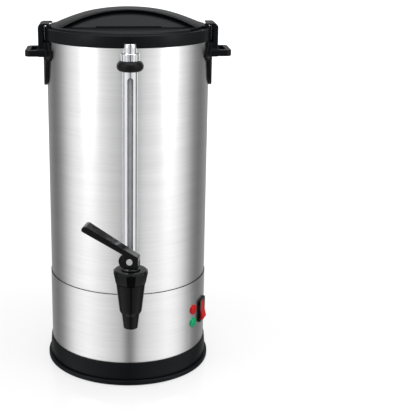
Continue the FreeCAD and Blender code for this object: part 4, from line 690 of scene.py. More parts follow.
class Workshop:
    """Makes materials once and puts pieces on their bodies."""

    def __init__(self) -> None:
        """Makes the material of every slot."""
        self.materials = {slot: finish.material(slot) for slot, finish in FINISHES.items()}

    def dress_frame(self) -> None:
        """Gives every node of the frame the material of its slot."""
        for part in frame["record"]["subparts"]:
            node = frame["nodes"][part["node"]]
            for place in node.material_slots:
                place.material = self.materials[Slot(part["material_slot"])]

    def fit(self, piece: bpy.types.Object, body: Body, slot: Slot, *nodes: str) -> None:
        """Dresses a piece, puts it on its body and hides what it stands for.

        Args:
            piece: the piece, in place.
            body: the body that it rides on.
            slot: its material slot.
            nodes: the nodes that it replaces.
        """
        piece.data.materials.clear()
        piece.data.materials.append(self.materials[slot])
        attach(piece, body.value)
        if nodes:
            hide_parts(*nodes)
        log.info("%s: %s on %s, %d faces", piece.name, slot.value, body.value, len(piece.data.polygons))


def size_of(node: str) -> tuple[Vector, Vector, Vector]:
    """Lowest corner, highest corner and middle of a node."""
    low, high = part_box(node)
    return low, high, (low + high) / 2


def to_wall(degrees: float, radius: float, height: float) -> Matrix:
    """Takes a piece that faces +Z to a wall of this radius, at this angle from the front.

    Args:
        degrees: angle from the front, towards +X.
        radius: the wall's radius.
        height: height of the piece's middle.

    Returns:
        The move.
    """
    out = Matrix.Translation((0.0, -radius, height)) @ Matrix.Rotation(math.pi / 2, 4, "X")
    return Matrix.Rotation(math.radians(degrees), 4, "Z") @ out


@dataclass(frozen=True)
class Softbox:
    """Soft lamp.

    Attributes:
        name: the lamp's name.
        place: where it hangs.
        width: its width.
        height: its height.
        power: its power in watts.
    """

    name: str
    place: tuple[float, float, float]
    width: float
    height: float
    power: float

    def hang(self, aim: Vector) -> None:
        """Hangs the lamp so that it faces a point."""
        data = bpy.data.lights.new(self.name, "AREA")
        data.shape = "RECTANGLE"
        data.size, data.size_y = self.width, self.height
        data.energy = self.power
        lamp = bpy.data.objects.new(self.name, data)
        lamp.location = self.place
        lamp.rotation_euler = (aim - lamp.location).to_track_quat("-Z", "Y").to_euler()
        bpy.context.scene.collection.objects.link(lamp)


@dataclass
class Studio:
    """Camera, floor and light.

    Attributes:
        distance: camera from the urn's axis, level.
        height: camera above the floor.
        swing: camera's place round the urn, in degrees.
        pitch: its tilt below level, in degrees.
        lens: focal length in millimetres.
        shift: sideways shift of the frame.
        floor_size: width of the floor.
        ambient: light from all sides on plain surfaces.
        floor_lift: brightness that the camera sees in the floor even where it is in shadow.
        floor_greys: its two greys.
        floor_roughness: its roughness.
        lift_near: distance from the axis where the brightness starts to rise.
        lift_far: distance from which it is white.
        cards: grey that glossy surfaces see, from the front (0) round to the back (1).
        card_turn: how far the cards are turned round the urn, in half turns.
        slit_turn: place of the dark slit behind the camera, in half turns.
        slit_half: half its width, in half turns.
        slit_weight: how much of the cards it covers.
        slit_grey: its grey.
        aim: height that the lamps face.
        lamps: the lamps.
    """

    distance: float = 1.2673
    height: float = 0.5942
    swing: float = -1.3
    pitch: float = 16.8
    lens: float = 84.06
    shift: float = 0.1926
    floor_size: float = 12.0
    ambient: float = 0.62
    floor_lift: float = 0.64
    floor_greys: tuple[float, float] = (0.34, 0.32)
    floor_roughness: float = 0.20
    lift_near: float = 0.1
    lift_far: float = 1.6
    cards: tuple[tuple[float, float], ...] = (
        (0.0, 0.55), (0.10, 0.62), (0.17, 0.78), (0.25, 0.88), (0.35, 1.0), (0.44, 0.96),
        (0.50, 0.76), (0.56, 0.48), (0.62, 0.24), (0.70, 0.15), (0.78, 0.22), (0.87, 0.34),
        (1.0, 0.40))
    card_turn: float = 0.02
    slit_turn: float = 0.009
    slit_half: float = 0.075
    slit_weight: float = 0.95
    slit_grey: float = 0.03
    aim: float = 0.22
    lamps: tuple[Softbox, ...] = (
        Softbox("top_light", (0.1, -0.25, 1.9), 1.6, 1.2, 18.0),
        Softbox("left_light", (-1.6, -1.1, 1.0), 0.8, 1.6, 8.0),
        Softbox("right_light", (1.6, -1.0, 1.0), 0.8, 1.6, 8.0))

    def set_camera(self) -> None:
        """Puts the camera where the photograph was taken from."""
        data = bpy.data.cameras.new("camera")
        data.lens = self.lens
        data.shift_x = self.shift
        camera = bpy.data.objects.new("camera", data)
        angle = math.radians(self.swing)
        camera.location = (self.distance * math.sin(angle), -self.distance * math.cos(angle), self.height)
        camera.rotation_euler = (math.radians(90 - self.pitch), 0.0, angle)
        bpy.context.scene.collection.objects.link(camera)
        bpy.context.scene.camera = camera

    def set_floor(self) -> None:
        """Lays a pale floor that keeps the urn's shadow and a faint reflection."""
        half = self.floor_size / 2
        corners = [(-half, -half), (half, -half), (half, half), (-half, half)]
        floor = Form().prism(corners, -0.01, 0.0).piece("floor")
        material = bpy.data.materials.new("floor")
        shader = Shader(material)
        cloud = shader.noise(3.0)
        matt = shader.principled(Base_Color=shader.mix(cloud, *map(grey, self.floor_greys)),
                                 Roughness=self.floor_roughness, Specular_IOR_Level=0.5)
        away = shader.add("ShaderNodeVectorMath", {0: shader.place((1.0, 1.0, 0.0))}, output="Value",
                          operation="LENGTH")
        lift = shader.mix(away.between(self.lift_near, self.lift_far), grey(self.floor_lift), grey(1.0))
        glow = shader.add("ShaderNodeEmission", {"Color": lift, "Strength": 1.0})
        seen = shader.add("ShaderNodeLightPath", output="Is Camera Ray")
        dark = shader.add("ShaderNodeEmission", {"Color": (0.0, 0.0, 0.0, 1.0), "Strength": 0.0})
        lift = shader.add("ShaderNodeMixShader", {0: seen, 1: dark, 2: glow})
        shader.show(shader.add("ShaderNodeAddShader", {0: matt, 1: lift}))
        floor.data.materials.append(material)
        floor.visible_glossy = False

    def set_world(self) -> None:
        """White surroundings, which glossy surfaces see between grey cards."""
        world = bpy.data.worlds.new("studio")
        bpy.context.scene.world = world
        shader = Shader(world)
        way = shader.add("ShaderNodeTexCoord", output="Generated")
        east, north = (shader.add("ShaderNodeSeparateXYZ", {0: way}, output=axis) for axis in "XY")
        turn = east.math("ARCTAN2", east, north * -1.0) / math.pi
        cards = shader.add("ShaderNodeValToRGB", {0: abs(turn + self.card_turn)}, stops=self.cards)
        slit = abs(turn - self.slit_turn).between(self.slit_half, 0.0) * self.slit_weight
        cards = shader.mix(slit, cards, grey(self.slit_grey))
        path = {kind: shader.add("ShaderNodeLightPath", output=kind)
                for kind in ("Is Camera Ray", "Is Glossy Ray", "Is Transmission Ray")}
        seen = path["Is Camera Ray"] + path["Is Transmission Ray"]
        light = shader.mix(seen, grey(self.ambient), grey(1.0))
        light = shader.mix(path["Is Glossy Ray"], light, cards)
        shader.show(shader.add("ShaderNodeBackground", {"Color": light, "Strength": 1.0}),
                    "ShaderNodeOutputWorld")

    def build(self) -> None:
        """Sets up the whole studio."""
        self.set_camera()
        self.set_floor()
        self.set_world()
        for lamp in self.lamps:
            lamp.hang(Vector((0.0, 0.0, self.aim)))
        bpy.context.scene.view_settings.view_transform = "Standard"


@dataclass
class Base:
    """Plastic ring that the urn stands in.

    Attributes:
        step: height of the bottom step's top.
        groove: height of the shadow groove above the step.
        groove_depth: how far the groove lies behind the step.
        lean: how much narrower the ring is at its top.
        edge: radius of its bottom edge.
        shoulder: radius of the step's top edge.
        shade_bead: height of the black rubber ring on the seam between the shells, which paints the seam's
            shade as a dark line.
        waist: how far the ring above the groove lies behind the step.
        bulge: how far its middle stands out from a straight line.
        bulge_round: radius of that bulge.
        foot: width of the bottom face.
        foot_top: height of the room for the foot ring.
        wall: thickness of the ring over the foot ring.
        shelf: width of the shelf that carries the shell.
        shelf_low: height of its underside.
        shelf_top: height of its top.
    """

    step: float = 7.5 * MM
    groove: float = 0.8 * MM
    groove_depth: float = 3.9 * MM
    lean: float = 4.4 * MM
    edge: float = 0.9 * MM
    shoulder: float = 1.6 * MM
    shade_bead: float = 0.6 * MM
    waist: float = 3.2 * MM
    bulge: float = 0.45 * MM
    bulge_round: float = 40.0 * MM
    foot: float = 5.0 * MM
    foot_top: float = 3.0 * MM
    wall: float = 9.2 * MM
    shelf: float = 10.0 * MM
    shelf_low: float = 7.0 * MM
    shelf_top: float = 12.0 * MM

    def build(self, shop: Workshop) -> None:
        """Builds and fits the ring."""
        low, high, _ = size_of("base_ring")
        radius, seat = high.x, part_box("lower_shell")[1].x + NEST_GAP
        waist, groove_top = radius - self.waist, self.step + self.groove
        groove_in, foot_in = radius - self.groove_depth, radius - self.foot
        shelf_in, wall_in = seat - self.shelf, radius - self.wall
        bulge = ((waist + radius - self.lean) / 2 + self.bulge, (self.step + high.z) / 2, self.bulge_round)
        outline = rounded([
            (foot_in, low.z), (radius, low.z, self.edge), (radius, self.step, self.shoulder),
            (groove_in, self.step), (groove_in, groove_top),
            (waist, groove_top, 0.3 * MM), bulge, (radius - self.lean, high.z, 0.5 * MM),
            (seat, high.z, 0.25 * MM), (seat, self.shelf_top), (shelf_in, self.shelf_top),
            (shelf_in, self.shelf_low), (wall_in, self.shelf_low), (wall_in, self.foot_top),
            (foot_in, self.foot_top)])
        ring = Form().turned(outline, 256).piece("base_shell")
        shop.fit(ring, Body.ROOT, Slot.BLACK_PLASTIC, "base_ring")
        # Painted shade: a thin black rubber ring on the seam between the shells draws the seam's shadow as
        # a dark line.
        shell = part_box("lower_shell")[1]
        inner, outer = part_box("upper_shell")[1].x + 0.02 * MM, shell.x + 0.08 * MM
        foot, top = shell.z - 0.05 * MM, shell.z + self.shade_bead
        shade_bead = rounded([(inner, foot), (outer, foot), (outer, top, 0.2 * MM), (inner, top)])
        seam = Form().turned(shade_bead, 256).piece("painted_seam_shade")
        shop.fit(seam, Body.ROOT, Slot.RUBBER)


@dataclass
class Lid:
    """Twist-lock lid: flat shelf, arched crown with a finger recess on each side.

    Attributes:
        rise: height of the shelf over the collar.
        rim: height of the rim round the shelf.
        height: height of the crown over the shelf.
        crown_radius: the crown's reach along its arch.
        crown_half: half the crown's width at the shelf.
        crown_edge: radius of its edges and of the fillets in its recesses.
        arch_end: share of the half arch at which the crown ends.
        sections: sections along the arch.
        lean: how far its long faces lean in for each unit of height.
        setback: depth of a recess.
        lip: thickness of the crown over a recess.
        strip_half: half the length of the raised strip under a recess.
        strip_width: its width.
        strip_height: its height.
        wall: wall thickness.
        edge: radius of the shelf's edge.
        ribs: cross ribs near each end of the crown.
        rib_depth: their depth.
        rib_start: share of the half arch where they start.
        rib_end: share of it where they end.
        notch_turn: the hooks' notches' place back from the handles, in degrees.
        notch_half: half the notch's width, in degrees.
        boss_bore: radius of the hole for the pivot.
        boss_radius: radius of the boss round it.
    """

    rise: float = 2.5 * MM
    rim: float = 5.2 * MM
    height: float = 20.7 * MM
    crown_radius: float = 97.0 * MM
    crown_half: float = 46.0 * MM
    crown_edge: float = 1.2 * MM
    arch_end: float = 0.999
    sections: int = 241
    lean: float = 1.2
    setback: float = 7.0 * MM
    lip: float = 1.1 * MM
    strip_half: float = 41.0 * MM
    strip_width: float = 2.6 * MM
    strip_height: float = 1.2 * MM
    wall: float = 2.5 * MM
    edge: float = 3.6 * MM
    ribs: int = 9
    rib_depth: float = 0.35 * MM
    rib_start: float = 0.62
    rib_end: float = 0.9
    notch_turn: float = 28.0
    notch_half: float = 13.3
    boss_bore: float = 4.05 * MM
    boss_radius: float = 8.0 * MM

    def __post_init__(self) -> None:
        """Reads the lid's heights from the frame."""
        self.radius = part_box("lid_cover")[1].x
        self.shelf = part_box("top_collar")[1].z + self.rise
        self.rim_low = self.shelf - self.rim

    @staticmethod
    def arch(half_width: float, height: float, share: float) -> tuple[float, float]:
        """Point of an arch, by the share of its half length from -1 to 1."""
        radius = (half_width ** 2 + height ** 2) / (2 * height)
        angle = math.asin(half_width / radius) * share
        return radius * math.sin(angle), radius * math.cos(angle) - (radius - height)

    def ripple(self, share: float) -> float:
        """Depth of the cross ribs at this share of the arch."""
        along = (abs(share) - self.rib_start) / (self.rib_end - self.rib_start)
        if not 0.0 < along < 1.0:
            return 0.0
        return self.rib_depth * (0.5 - 0.5 * math.cos(2 * math.pi * self.ribs * along))

    def crown_row(self, share: float) -> list[Vector]:
        """One closed section across the crown.

        Args:
            share: the section's place along the arch, from -1 to 1.

        Returns:
            Its points, from the front bottom over the top to the back bottom.
        """
        side_y = self.crown_half
        for _ in range(4):
            side = math.sqrt(self.crown_radius ** 2 - side_y ** 2)
            side_x, side_z = self.arch(side, self.height, share)
            side_y = self.crown_half - self.lean * side_z
        mouth_half = math.sqrt(self.crown_radius ** 2 - self.crown_half ** 2) - self.lip
        mouth_x, mouth_z = self.arch(mouth_half, self.height - self.lip, share)
        web = self.crown_half - self.setback
        room = side_z - mouth_z
        edge = min(self.crown_edge, 0.5 * room)
        half: list[tuple[float, float, float]] = []
        for y in fan(0.0, side_y - edge, 9):
            reach = math.sqrt(self.crown_radius ** 2 - y ** 2)
            x, z = self.arch(reach, self.height, share)
            half.append((x, y, z - self.ripple(share)))
        for k in range(1, 6):
            angle = math.pi / 2 * k / 5
            z = side_z - edge * (1 - math.cos(angle))
            y = self.crown_half - self.lean * z - edge * (1 - math.sin(angle))
            half.append((side_x, y, z - self.ripple(share) * math.cos(angle)))
        small = 0.2 * room
        for x, z, back in ((side_x, side_z - room * 0.7, 0.0), (mouth_x, mouth_z + small, 0.0),
                           (mouth_x, mouth_z, small)):
            half.append((x, self.crown_half - self.lean * z - back, z))
        fillet = min(self.crown_edge, mouth_z * 0.45)
        for k in range(5):
            angle = math.pi / 2 * k / 4
            z = mouth_z - fillet * (1 - math.cos(angle))
            half.append((mouth_x, web - self.lean * z + fillet * (1 - math.sin(angle)), z))
        half.append((mouth_x, web, 0.0))
        half.append((mouth_x, web + self.lean * MM, -1.0 * MM))
        front = [Vector((x, -y, self.shelf + z)) for x, y, z in reversed(half)]
        back = [Vector((x, y, self.shelf + z)) for x, y, z in half[1:]]
        return front + back

    def build(self, shop: Workshop) -> None:
        """Builds and fits the lid's cover."""
        inner = self.radius - self.wall
        under = self.shelf - self.wall
        outline = rounded([
            (0.0, self.shelf), (self.radius, self.shelf, self.edge), (self.radius, self.rim_low, 0.4 * MM),
            (inner, self.rim_low, 0.4 * MM), (inner, under, 1.0 * MM), (0.0, under)])
        cover = Form().turned(outline, 240, ring=False).piece("lid_shell")
        for turn in (-self.notch_turn, 180.0 - self.notch_turn):
            ends = (turn - self.notch_half, turn + self.notch_half)
            wedge = arc(self.crown_radius + 0.2 * MM, *ends) + arc(self.radius + 8 * MM, *reversed(ends))
            cut(cover, Form().prism(wedge, self.rim_low - MM, self.shelf + MM))
        shares = fan(-self.arch_end, self.arch_end, self.sections)
        crown = Form().skin([self.crown_row(share) for share in shares], capped=True)
        web = self.crown_half - self.setback
        half, low, high = self.strip_half, self.shelf - MM, self.shelf + self.strip_height
        for side in (-1, 1):
            ends = sorted((side * (web - 2.0 * MM), side * (web + self.strip_width)))
            corners = rounded([(x, y, 0.4 * MM) for x, y in (
                (-half, ends[0]), (half, ends[0]), (half, ends[1]), (-half, ends[1]))], 3)
            crown.join(Form().prism(corners, low, high))
        low, high = under - 5.0 * MM, under + 0.5 * MM
        boss = rounded([(self.boss_bore, low), (self.boss_radius, low, 0.4 * MM),
                        (self.boss_radius, high), (self.boss_bore, high)])
        crown.join(Form().turned(boss, 64))
        extra = crown.piece("lid_crown", 40.0)
        join_objects(cover, extra)
        shop.fit(cover, Body.LID_COVER, Slot.BLACK_PLASTIC, "lid_cover")


def join_objects(piece: bpy.types.Object, other: bpy.types.Object) -> None:
    """Adds another piece's mesh to a piece, with its shading, and removes the other."""
    with bpy.context.temp_override(active_object=piece, object=piece,
                                   selected_objects=[piece, other],
                                   selected_editable_objects=[piece, other]):
        bpy.ops.object.join()


@dataclass
class Collar:
    """Plastic collar round the urn's mouth.

    Attributes:
        edge: radius of its top edge.
        lip: width of its top edge up to the lid's ledge.
        ledge: depth of that ledge.
        ledge_width: its width.
    """

    edge: float = 1.8 * MM
    lip: float = 2.6 * MM
    ledge: float = 3.8 * MM
    ledge_width: float = 10.6 * MM

    def build(self, shop: Workshop) -> None:
        """Builds and fits the collar."""
        low, high, _ = size_of("top_collar")
        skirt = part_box("upper_shell")[1].x + NEST_GAP
        ledge = high.z - self.ledge
        bore = high.x - self.lip - self.ledge_width
        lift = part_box("collar_seal")[1].z
        outline = rounded([
            (skirt, low.z, 0.3 * MM), (high.x, low.z, 0.7 * MM), (high.x, high.z, self.edge),
            (high.x - self.lip, high.z, 0.5 * MM), (high.x - self.lip, ledge), (bore, ledge, 0.5 * MM),
            (bore, lift), (skirt, lift)])
        shop.fit(Form().turned(outline, 256).piece("collar_shell"), Body.ROOT, Slot.BLACK_PLASTIC,
                 "top_collar")


@dataclass
class Handles:
    """Side handles that hook over the lid.

    Attributes:
        grain: size of the faces.
        passes: passes of smoothing.
    """

    grain: float = 0.7 * MM
    passes: int = 6

    def build(self, shop: Workshop) -> None:
        """Builds and fits both handles."""
        for node in ("right_handle", "left_handle"):
            piece = moulded(node + "_moulding", node, self.grain, self.passes)
            shop.fit(piece, Body.ROOT, Slot.BLACK_PLASTIC, node)


@dataclass
class Gauge:
    """Sight gauge: glass in a slotted shield, between a base, a rubber ring, a nut and a cap.

    Attributes:
        flutes: grooves round the nut.
        flute_depth: their depth.
        flute_share: share of the nut's edge that they take.
        flute_from: radius inside which the nut is round.
        flute_stop: distance from their upper ends to the nut's top.
        bore: radius of the hole through the nut, the ring and the cap.
        cap_roof: thickness of the cap's top.
        cap_groove: width and depth of the coin slot across it.
        ring_proud: how far the rubber ring bulges past its solid.
        ring_edge: radius of the ring's edges.
        slot: width of the shield's slot.
        slot_foot: distance from the shield's lower end to the slot.
        slot_top: distance from the slot to the shield's upper end.
        wall: the shield's wall.
        glass_bore: radius of the room in the glass.
        steps: steps round a turned piece.
    """

    flutes: int = 16
    flute_depth: float = 1.3 * MM
    flute_share: float = 0.42
    flute_from: float = 10.0 * MM
    flute_stop: float = 1.2 * MM
    bore: float = 5.15 * MM
    cap_roof: float = 4.0 * MM
    cap_groove: float = 1.2 * MM
    ring_proud: float = 1.1 * MM
    ring_edge: float = 5.8 * MM
    slot: float = 7.2 * MM
    slot_foot: float = 6.0 * MM
    slot_top: float = 6.8 * MM
    wall: float = 0.8 * MM
    glass_bore: float = 3.5 * MM
    steps: int = 96

    def __post_init__(self) -> None:
        """Reads the gauge's axis from the frame."""
        self.axis = size_of("gauge_glass")[2]
        self.move = Matrix.Translation((0.0, self.axis.y, 0.0))

    def fluted(self, radius: float, z: float, angle: float) -> float:
        """Radius of the nut, less in its flutes."""
        if radius < self.flute_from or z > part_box("gauge_nut")[1].z - self.flute_stop:
            return radius
        wave = 0.5 + 0.5 * math.cos(self.flutes * angle)
        return radius - self.flute_depth * max(0.0, 1.0 - wave / self.flute_share) ** 0.5

    def build_shield(self, shop: Workshop) -> None:
        """Builds the slotted tube as one bent wall."""
        low, high, _ = size_of("gauge_shield")
        radius = high.x
        foot, top = low.z + self.slot_foot, high.z - self.slot_top
        half = self.slot / 2
        levels = [low.z, foot - 1e-5, foot] + fan(foot + 2 * MM, top - half, 24)
        levels += [top - half + half * math.sin(math.pi / 2 * k / 10) for k in range(1, 10)]
        levels += [top, high.z]
        rows = []
        for z in levels:
            if z < foot or z >= top:
                gap = 1e-6
            elif z > top - half:
                gap = math.sqrt(max(half ** 2 - (z - top + half) ** 2, 1e-12))
            else:
                gap = half
            start = math.asin(min(gap / radius, 1.0))
            angles = fan(start, 2 * math.pi - start, self.steps)
            out = [Vector((radius * math.sin(a), -radius * math.cos(a), z)) for a in angles]
            thin = (radius - self.wall) / radius
            rows.append(out + [Vector((p.x * thin, p.y * thin, z)) for p in reversed(out)])
        tube = Form().skin(rows, capped=True).moved(self.move).piece("gauge_tube")
        shop.fit(tube, Body.ROOT, Slot.CHROME, "gauge_shield")

    def build(self, shop: Workshop) -> None:
        """Builds and fits the gauge."""
        self.build_shield(shop)
        low, high, _ = size_of("gauge_glass")
        outline = rounded([(self.glass_bore, low.z), (high.x, low.z), (high.x, high.z, 0.3 * MM),
                           (self.glass_bore, high.z, 0.3 * MM)])
        glass = Form().turned(outline, self.steps).moved(self.move).piece("gauge_pipe")
        shop.fit(glass, Body.ROOT, Slot.GLASS, "gauge_glass")

        low, high, _ = size_of("gauge_nut")
        outline = rounded([(self.bore, low.z), (high.x, low.z, 0.6 * MM), (high.x, high.z - 1.3 * MM),
                           (high.x, high.z, 0.8 * MM), (self.bore, high.z)], 4)
        nut = Form().turned(outline, 16 * self.flutes, reach=self.fluted).moved(self.move)
        shop.fit(nut.piece("gauge_fluted_nut", 45.0), Body.ROOT, Slot.CHROME, "gauge_nut")

        low, high, _ = size_of("gauge_cap")
        under = high.z - self.cap_roof
        outline = rounded([(self.bore, low.z), (high.x, low.z, 0.2 * MM), (high.x, high.z, 0.9 * MM),
                           (0.0, high.z), (0.0, under), (self.bore, under)], 6)
        cap = Form().turned(outline, self.steps).moved(self.move).piece("gauge_top_cap")
        half, front, back = self.cap_groove / 2, self.axis.y - 9 * MM, self.axis.y + 9 * MM
        groove = [(-half, front), (half, front), (half, back), (-half, back)]
        cut(cap, Form().prism(groove, high.z - self.cap_groove, high.z + MM))
        shop.fit(cap, Body.ROOT, Slot.CHROME, "gauge_cap")

        low, high, _ = size_of("gauge_grommet")
        rim = high.x + self.ring_proud
        outline = rounded([(self.bore, low.z), (rim, low.z, self.ring_edge),
                           (rim, high.z, self.ring_edge), (self.bore, high.z)], 12)
        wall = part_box("upper_shell")[1].x + NEST_GAP
        ring = Form().turned(outline, self.steps).moved(self.move)
        for vertex in ring.mesh.verts:
            flat = Vector((vertex.co.x, vertex.co.y, 0.0))
            if flat.length < wall:
                flat = flat.normalized() * wall
                vertex.co = (flat.x, flat.y, vertex.co.z)
        shop.fit(ring.piece("gauge_ring"), Body.ROOT, Slot.RUBBER, "gauge_grommet")


@dataclass
class Tap:
    """Lever tap.

    Attributes:
        facets: facets of the bonnet.
        edge: radius of the smaller pieces' edges.
        steps: steps round a turned piece.
        outlet: radius of the hole at the body's foot.
        nose: radius of the body where the nozzle sits on it.
        waist: radius of the body's foot.
        shoulder: radius of its top.
        thread: radius of the neck that the bonnet screws on to.
        chamber: radius of the room in the body.
        neck: height of that neck.
        well: depth of the room below the body's top.
        bonnet_gap: gap between the body's top and the bonnet.
        chin: height of the body's round foot over the nozzle.
        arm: from the tap's axis to the end of the arm at the shell.
        arm_length: the arm's length.
        arm_radius: the arm's radius.
        arm_bore: radius of the hole for the shank.
        crown_height: height of the bonnet's round top over its facets.
        disc_thick: thickness of the guide's disc.
        stem_bore: radius of the hole for the stem.
        guide_radius: radius of the guide's tube.
        catch: how far the guide's catch stands out from its tube.
        grain: size of the lever's faces.
        passes: passes of smoothing on the lever.
        ridge: section of the parting ridge, across and outwards, in millimetres.
    """

    facets: int = 12
    edge: float = 0.7 * MM
    steps: int = 128
    outlet: float = 5.6 * MM
    nose: float = 8.0 * MM
    waist: float = 14.0 * MM
    shoulder: float = 18.1 * MM
    thread: float = 15.5 * MM
    chamber: float = 12.0 * MM
    neck: float = 10.0 * MM
    well: float = 27.0 * MM
    bonnet_gap: float = 0.8 * MM
    chin: float = 4.7 * MM
    arm: float = 21.1 * MM
    arm_length: float = 8.1 * MM
    arm_radius: float = 10.5 * MM
    arm_bore: float = 6.55 * MM
    crown_height: float = 1.6 * MM
    disc_thick: float = 1.6 * MM
    stem_bore: float = 3.55 * MM
    guide_radius: float = 5.6 * MM
    catch: float = 1.6 * MM
    grain: float = 0.45 * MM
    passes: int = 5
    ridge: tuple[tuple[float, float], ...] = ((-0.35, -0.4), (-0.12, 0.12), (0.12, 0.12), (0.35, -0.4))

    def __post_init__(self) -> None:
        """Reads the tap's axis from the frame."""
        self.axis = size_of("tap_bonnet")[2]
        self.move = Matrix.Translation((0.0, self.axis.y, 0.0))

    def parting(self, profile: Sequence[tuple[float, float]]) -> Form:
        """Fine parting ridge down the front.

        Args:
            profile: radius and height of the face that it stands on, from top to bottom.

        Returns:
            The ridge, about the tap's own axis.
        """
        rows = [[Vector((x * MM, -radius - out * MM, z)) for x, out in self.ridge]
                for radius, z in profile]
        return Form().skin(rows, capped=True)

    def build_body(self, shop: Workshop) -> None:
        """Body, its arm to the shank, and the nozzle."""
        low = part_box("tap_body")[0]
        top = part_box("tap_bonnet")[0].z - self.bonnet_gap
        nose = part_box("tap_nozzle")[1].z
        shoulder = nose + self.chin
        neck, seat = top + self.neck, top - self.well
        outline = rounded([
            (self.outlet, low.z), (self.nose, low.z), (self.nose, nose), (self.nose + 3.6 * MM, nose),
            (self.waist, shoulder, 5.0 * MM), (self.shoulder, top, 0.5 * MM), (self.thread, top),
            (self.thread, neck), (self.chamber, neck), (self.chamber, seat), (self.outlet, seat)], 6)
        body = Form().turned(outline, self.steps)
        front = [(self.shoulder - 0.1 * MM, top - MM), (self.waist + 0.15 * MM, shoulder + 1.5 * MM)]
        body.join(self.parting(front)).moved(self.move)
        height = size_of("tap_shank")[2].z
        near = self.axis.y + self.arm
        far = near - self.arm_length
        arm = rounded([(self.arm_bore, near), (self.arm_radius, near, self.edge),
                       (self.arm_radius, far), (self.arm_bore, far)])
        lay = Matrix.Translation((0.0, 0.0, height)) @ Matrix.Rotation(-math.pi / 2, 4, "X")
        body.join(Form().turned(arm, 64).moved(lay))
        shop.fit(body.piece("tap_housing"), Body.ROOT, Slot.GLOSS_BLACK, "tap_body")

        low, high, _ = size_of("tap_nozzle")
        bore, tip = self.nose + 0.05 * MM, self.nose + 1.0 * MM
        outline = rounded([
            (bore, high.z), (bore, low.z + 1.2 * MM), (self.nose, low.z), (tip, low.z, 0.4 * MM),
            (high.x, high.z - 1.4 * MM, 0.4 * MM), (high.x - 0.3 * MM, high.z)])
        spout = Form().turned(outline, self.steps)
        face = [(high.x - 0.1 * MM, high.z - 2.2 * MM), (tip + 0.1 * MM, low.z + MM)]
        spout.join(self.parting(face)).moved(self.move)
        shop.fit(spout.piece("tap_spout"), Body.ROOT, Slot.GLOSS_BLACK, "tap_nozzle")

    def faceted(self, radius: float, z: float, angle: float) -> float:
        """Radius of the bonnet, more at the corners between its facets."""
        crown_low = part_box("tap_bonnet")[1].z - self.crown_height
        if radius < self.thread + MM or z > crown_low + 0.05 * MM:
            return radius
        facet = 2 * math.pi / self.facets
        off = (angle + facet / 2) % facet - facet / 2
        return radius / math.cos(off)

    def build_bonnet(self, shop: Workshop) -> None:
        """Faceted bonnet with a round top edge."""
        low, high, _ = size_of("tap_bonnet")
        crown, crown_low, roof = high.x - 1.0 * MM, high.z - self.crown_height, high.z - 5 * MM
        inner, hole = self.thread + NEST_GAP, self.guide_radius + 0.05 * MM
        outline = rounded([
            (inner, low.z), (self.shoulder + NEST_GAP, low.z, 0.5 * MM), (high.x, crown_low, 0.5 * MM),
            (crown, crown_low), (crown, high.z, 1.4 * MM), (hole, high.z, 0.3 * MM),
            (hole, roof), (inner, roof)], 4)
        bonnet = Form().turned(outline, 12 * self.facets, reach=self.faceted).moved(self.move)
        shop.fit(bonnet.piece("tap_cap", 20.0), Body.ROOT, Slot.GLOSS_BLACK, "tap_bonnet")

    def build_lever(self, shop: Workshop) -> None:
        """Guide disc and lever."""
        low, high, _ = size_of("tap_guide")
        disc, stem, tube = high.z - self.disc_thick, self.stem_bore, self.guide_radius
        catch, catch_low, catch_top = tube + self.catch, low.z + MM, low.z + 2 * MM
        outline = rounded([(stem, high.z), (high.x, high.z, self.edge), (high.x, disc),
                           (tube, disc), (tube, catch_top), (catch, catch_top), (catch, catch_low),
                           (tube, catch_low), (tube, low.z), (stem, low.z)])
        guide = Form().turned(outline, self.steps).moved(self.move).piece("tap_guide_disc")
        shop.fit(guide, Body.TAP_GUIDE, Slot.GLOSS_BLACK, "tap_guide")
        lever = moulded("tap_handle", "tap_lever", self.grain, self.passes)
        lever.visible_glossy = False
        shop.fit(lever, Body.TAP_LEVER, Slot.GLOSS_BLACK, "tap_lever")

    def build(self, shop: Workshop) -> None:
        """Builds and fits the tap."""
        self.build_body(shop)
        self.build_bonnet(shop)
        self.build_lever(shop)


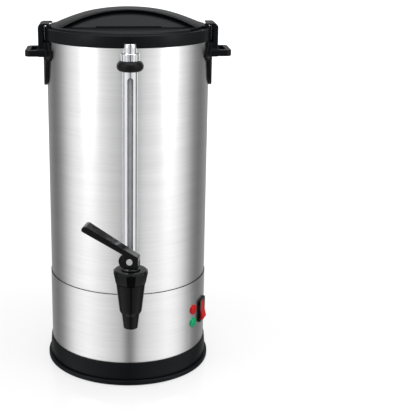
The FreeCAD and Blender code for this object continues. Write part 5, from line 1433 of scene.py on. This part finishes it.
@dataclass
class Controls:
    """Rocker switch and signal lamps on the lower shell.

    Attributes:
        lamp_turn: the lamps' place round the urn from the front, in degrees.
        lamp_radius: a lens's radius.
        proud: height of its cylindrical rim.
        dome: height of the dome over it.
        seat: gap between a lens's rim and the shell.
        stem: length of a lens's stem into the shell.
        stem_radius: its radius.
        grain: size of the faces of moulded pieces.
    """

    lamp_turn: float = 54.3
    lamp_radius: float = 6.7 * MM
    proud: float = 1.5 * MM
    dome: float = 2.0 * MM
    seat: float = 0.05 * MM
    stem: float = 6.0 * MM
    stem_radius: float = 5.0 * MM
    grain: float = 0.35 * MM

    def build_lamp(self, shop: Workshop, node: str, slot: Slot) -> None:
        """Builds one lens with a soft edge and a stem into the shell."""
        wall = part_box("lower_shell")[1].x
        _, _, middle = size_of(node)
        ball = (self.lamp_radius ** 2 + self.dome ** 2) / (2 * self.dome)
        top = self.proud + self.dome
        rim = math.sqrt(ball ** 2 - (ball - self.dome + 0.5 * MM) ** 2)
        cap = [(ball * math.sin(a), top - ball + ball * math.cos(a))
               for a in fan(0.0, math.asin(rim / ball) * 0.97, 12)]
        outline = cap + rounded([(rim, cap[-1][1] - 0.2 * MM), (self.lamp_radius, self.proud, 0.3 * MM),
                                 (self.lamp_radius, self.seat)])[1:]
        outline += [(self.stem_radius, self.seat), (self.stem_radius, -self.stem), (0.0, -self.stem)]
        lens = Form().turned(outline, 72, ring=False).moved(to_wall(self.lamp_turn, wall, middle.z))
        shop.fit(lens.piece(node.replace("lens", "cap")), Body.ROOT, slot, node)

    def build(self, shop: Workshop) -> None:
        """Builds and fits the switch and both lamps."""
        self.build_lamp(shop, "red_lamp_lens", Slot.RED_CLEAR)
        self.build_lamp(shop, "green_lamp_lens", Slot.GREEN_CLEAR)
        bezel = moulded("switch_bezel", "switch_housing", self.grain, 3)
        shop.fit(bezel, Body.ROOT, Slot.GLOSS_BLACK, "switch_housing")
        rocker = moulded("switch_paddle", "switch_rocker", self.grain, 4)
        shop.fit(rocker, Body.SWITCH_ROCKER, Slot.RED_CLEAR, "switch_rocker")


@dataclass
class Inlet:
    """Power inlet at the back.

    Attributes:
        grain: size of the faces.
    """

    grain: float = 0.45 * MM

    def build(self, shop: Workshop) -> None:
        """Builds and fits the inlet."""
        shroud = moulded("inlet_shroud", "power_inlet", self.grain, 3)
        shop.fit(shroud, Body.ROOT, Slot.BLACK_PLASTIC, "power_inlet")


def main() -> None:
    """Builds the studio and every sub-assembly in order."""
    logging.basicConfig(level=logging.INFO, format="%(name)s: %(message)s")
    Studio().build()
    shop = Workshop()
    shop.dress_frame()
    for assembly in (Base(), Collar(), Lid(), Handles(), Gauge(), Tap(), Controls(), Inlet()):
        assembly.build(shop)
        log.info("%s built", type(assembly).__name__)


if __name__ == "__main__":
    main()
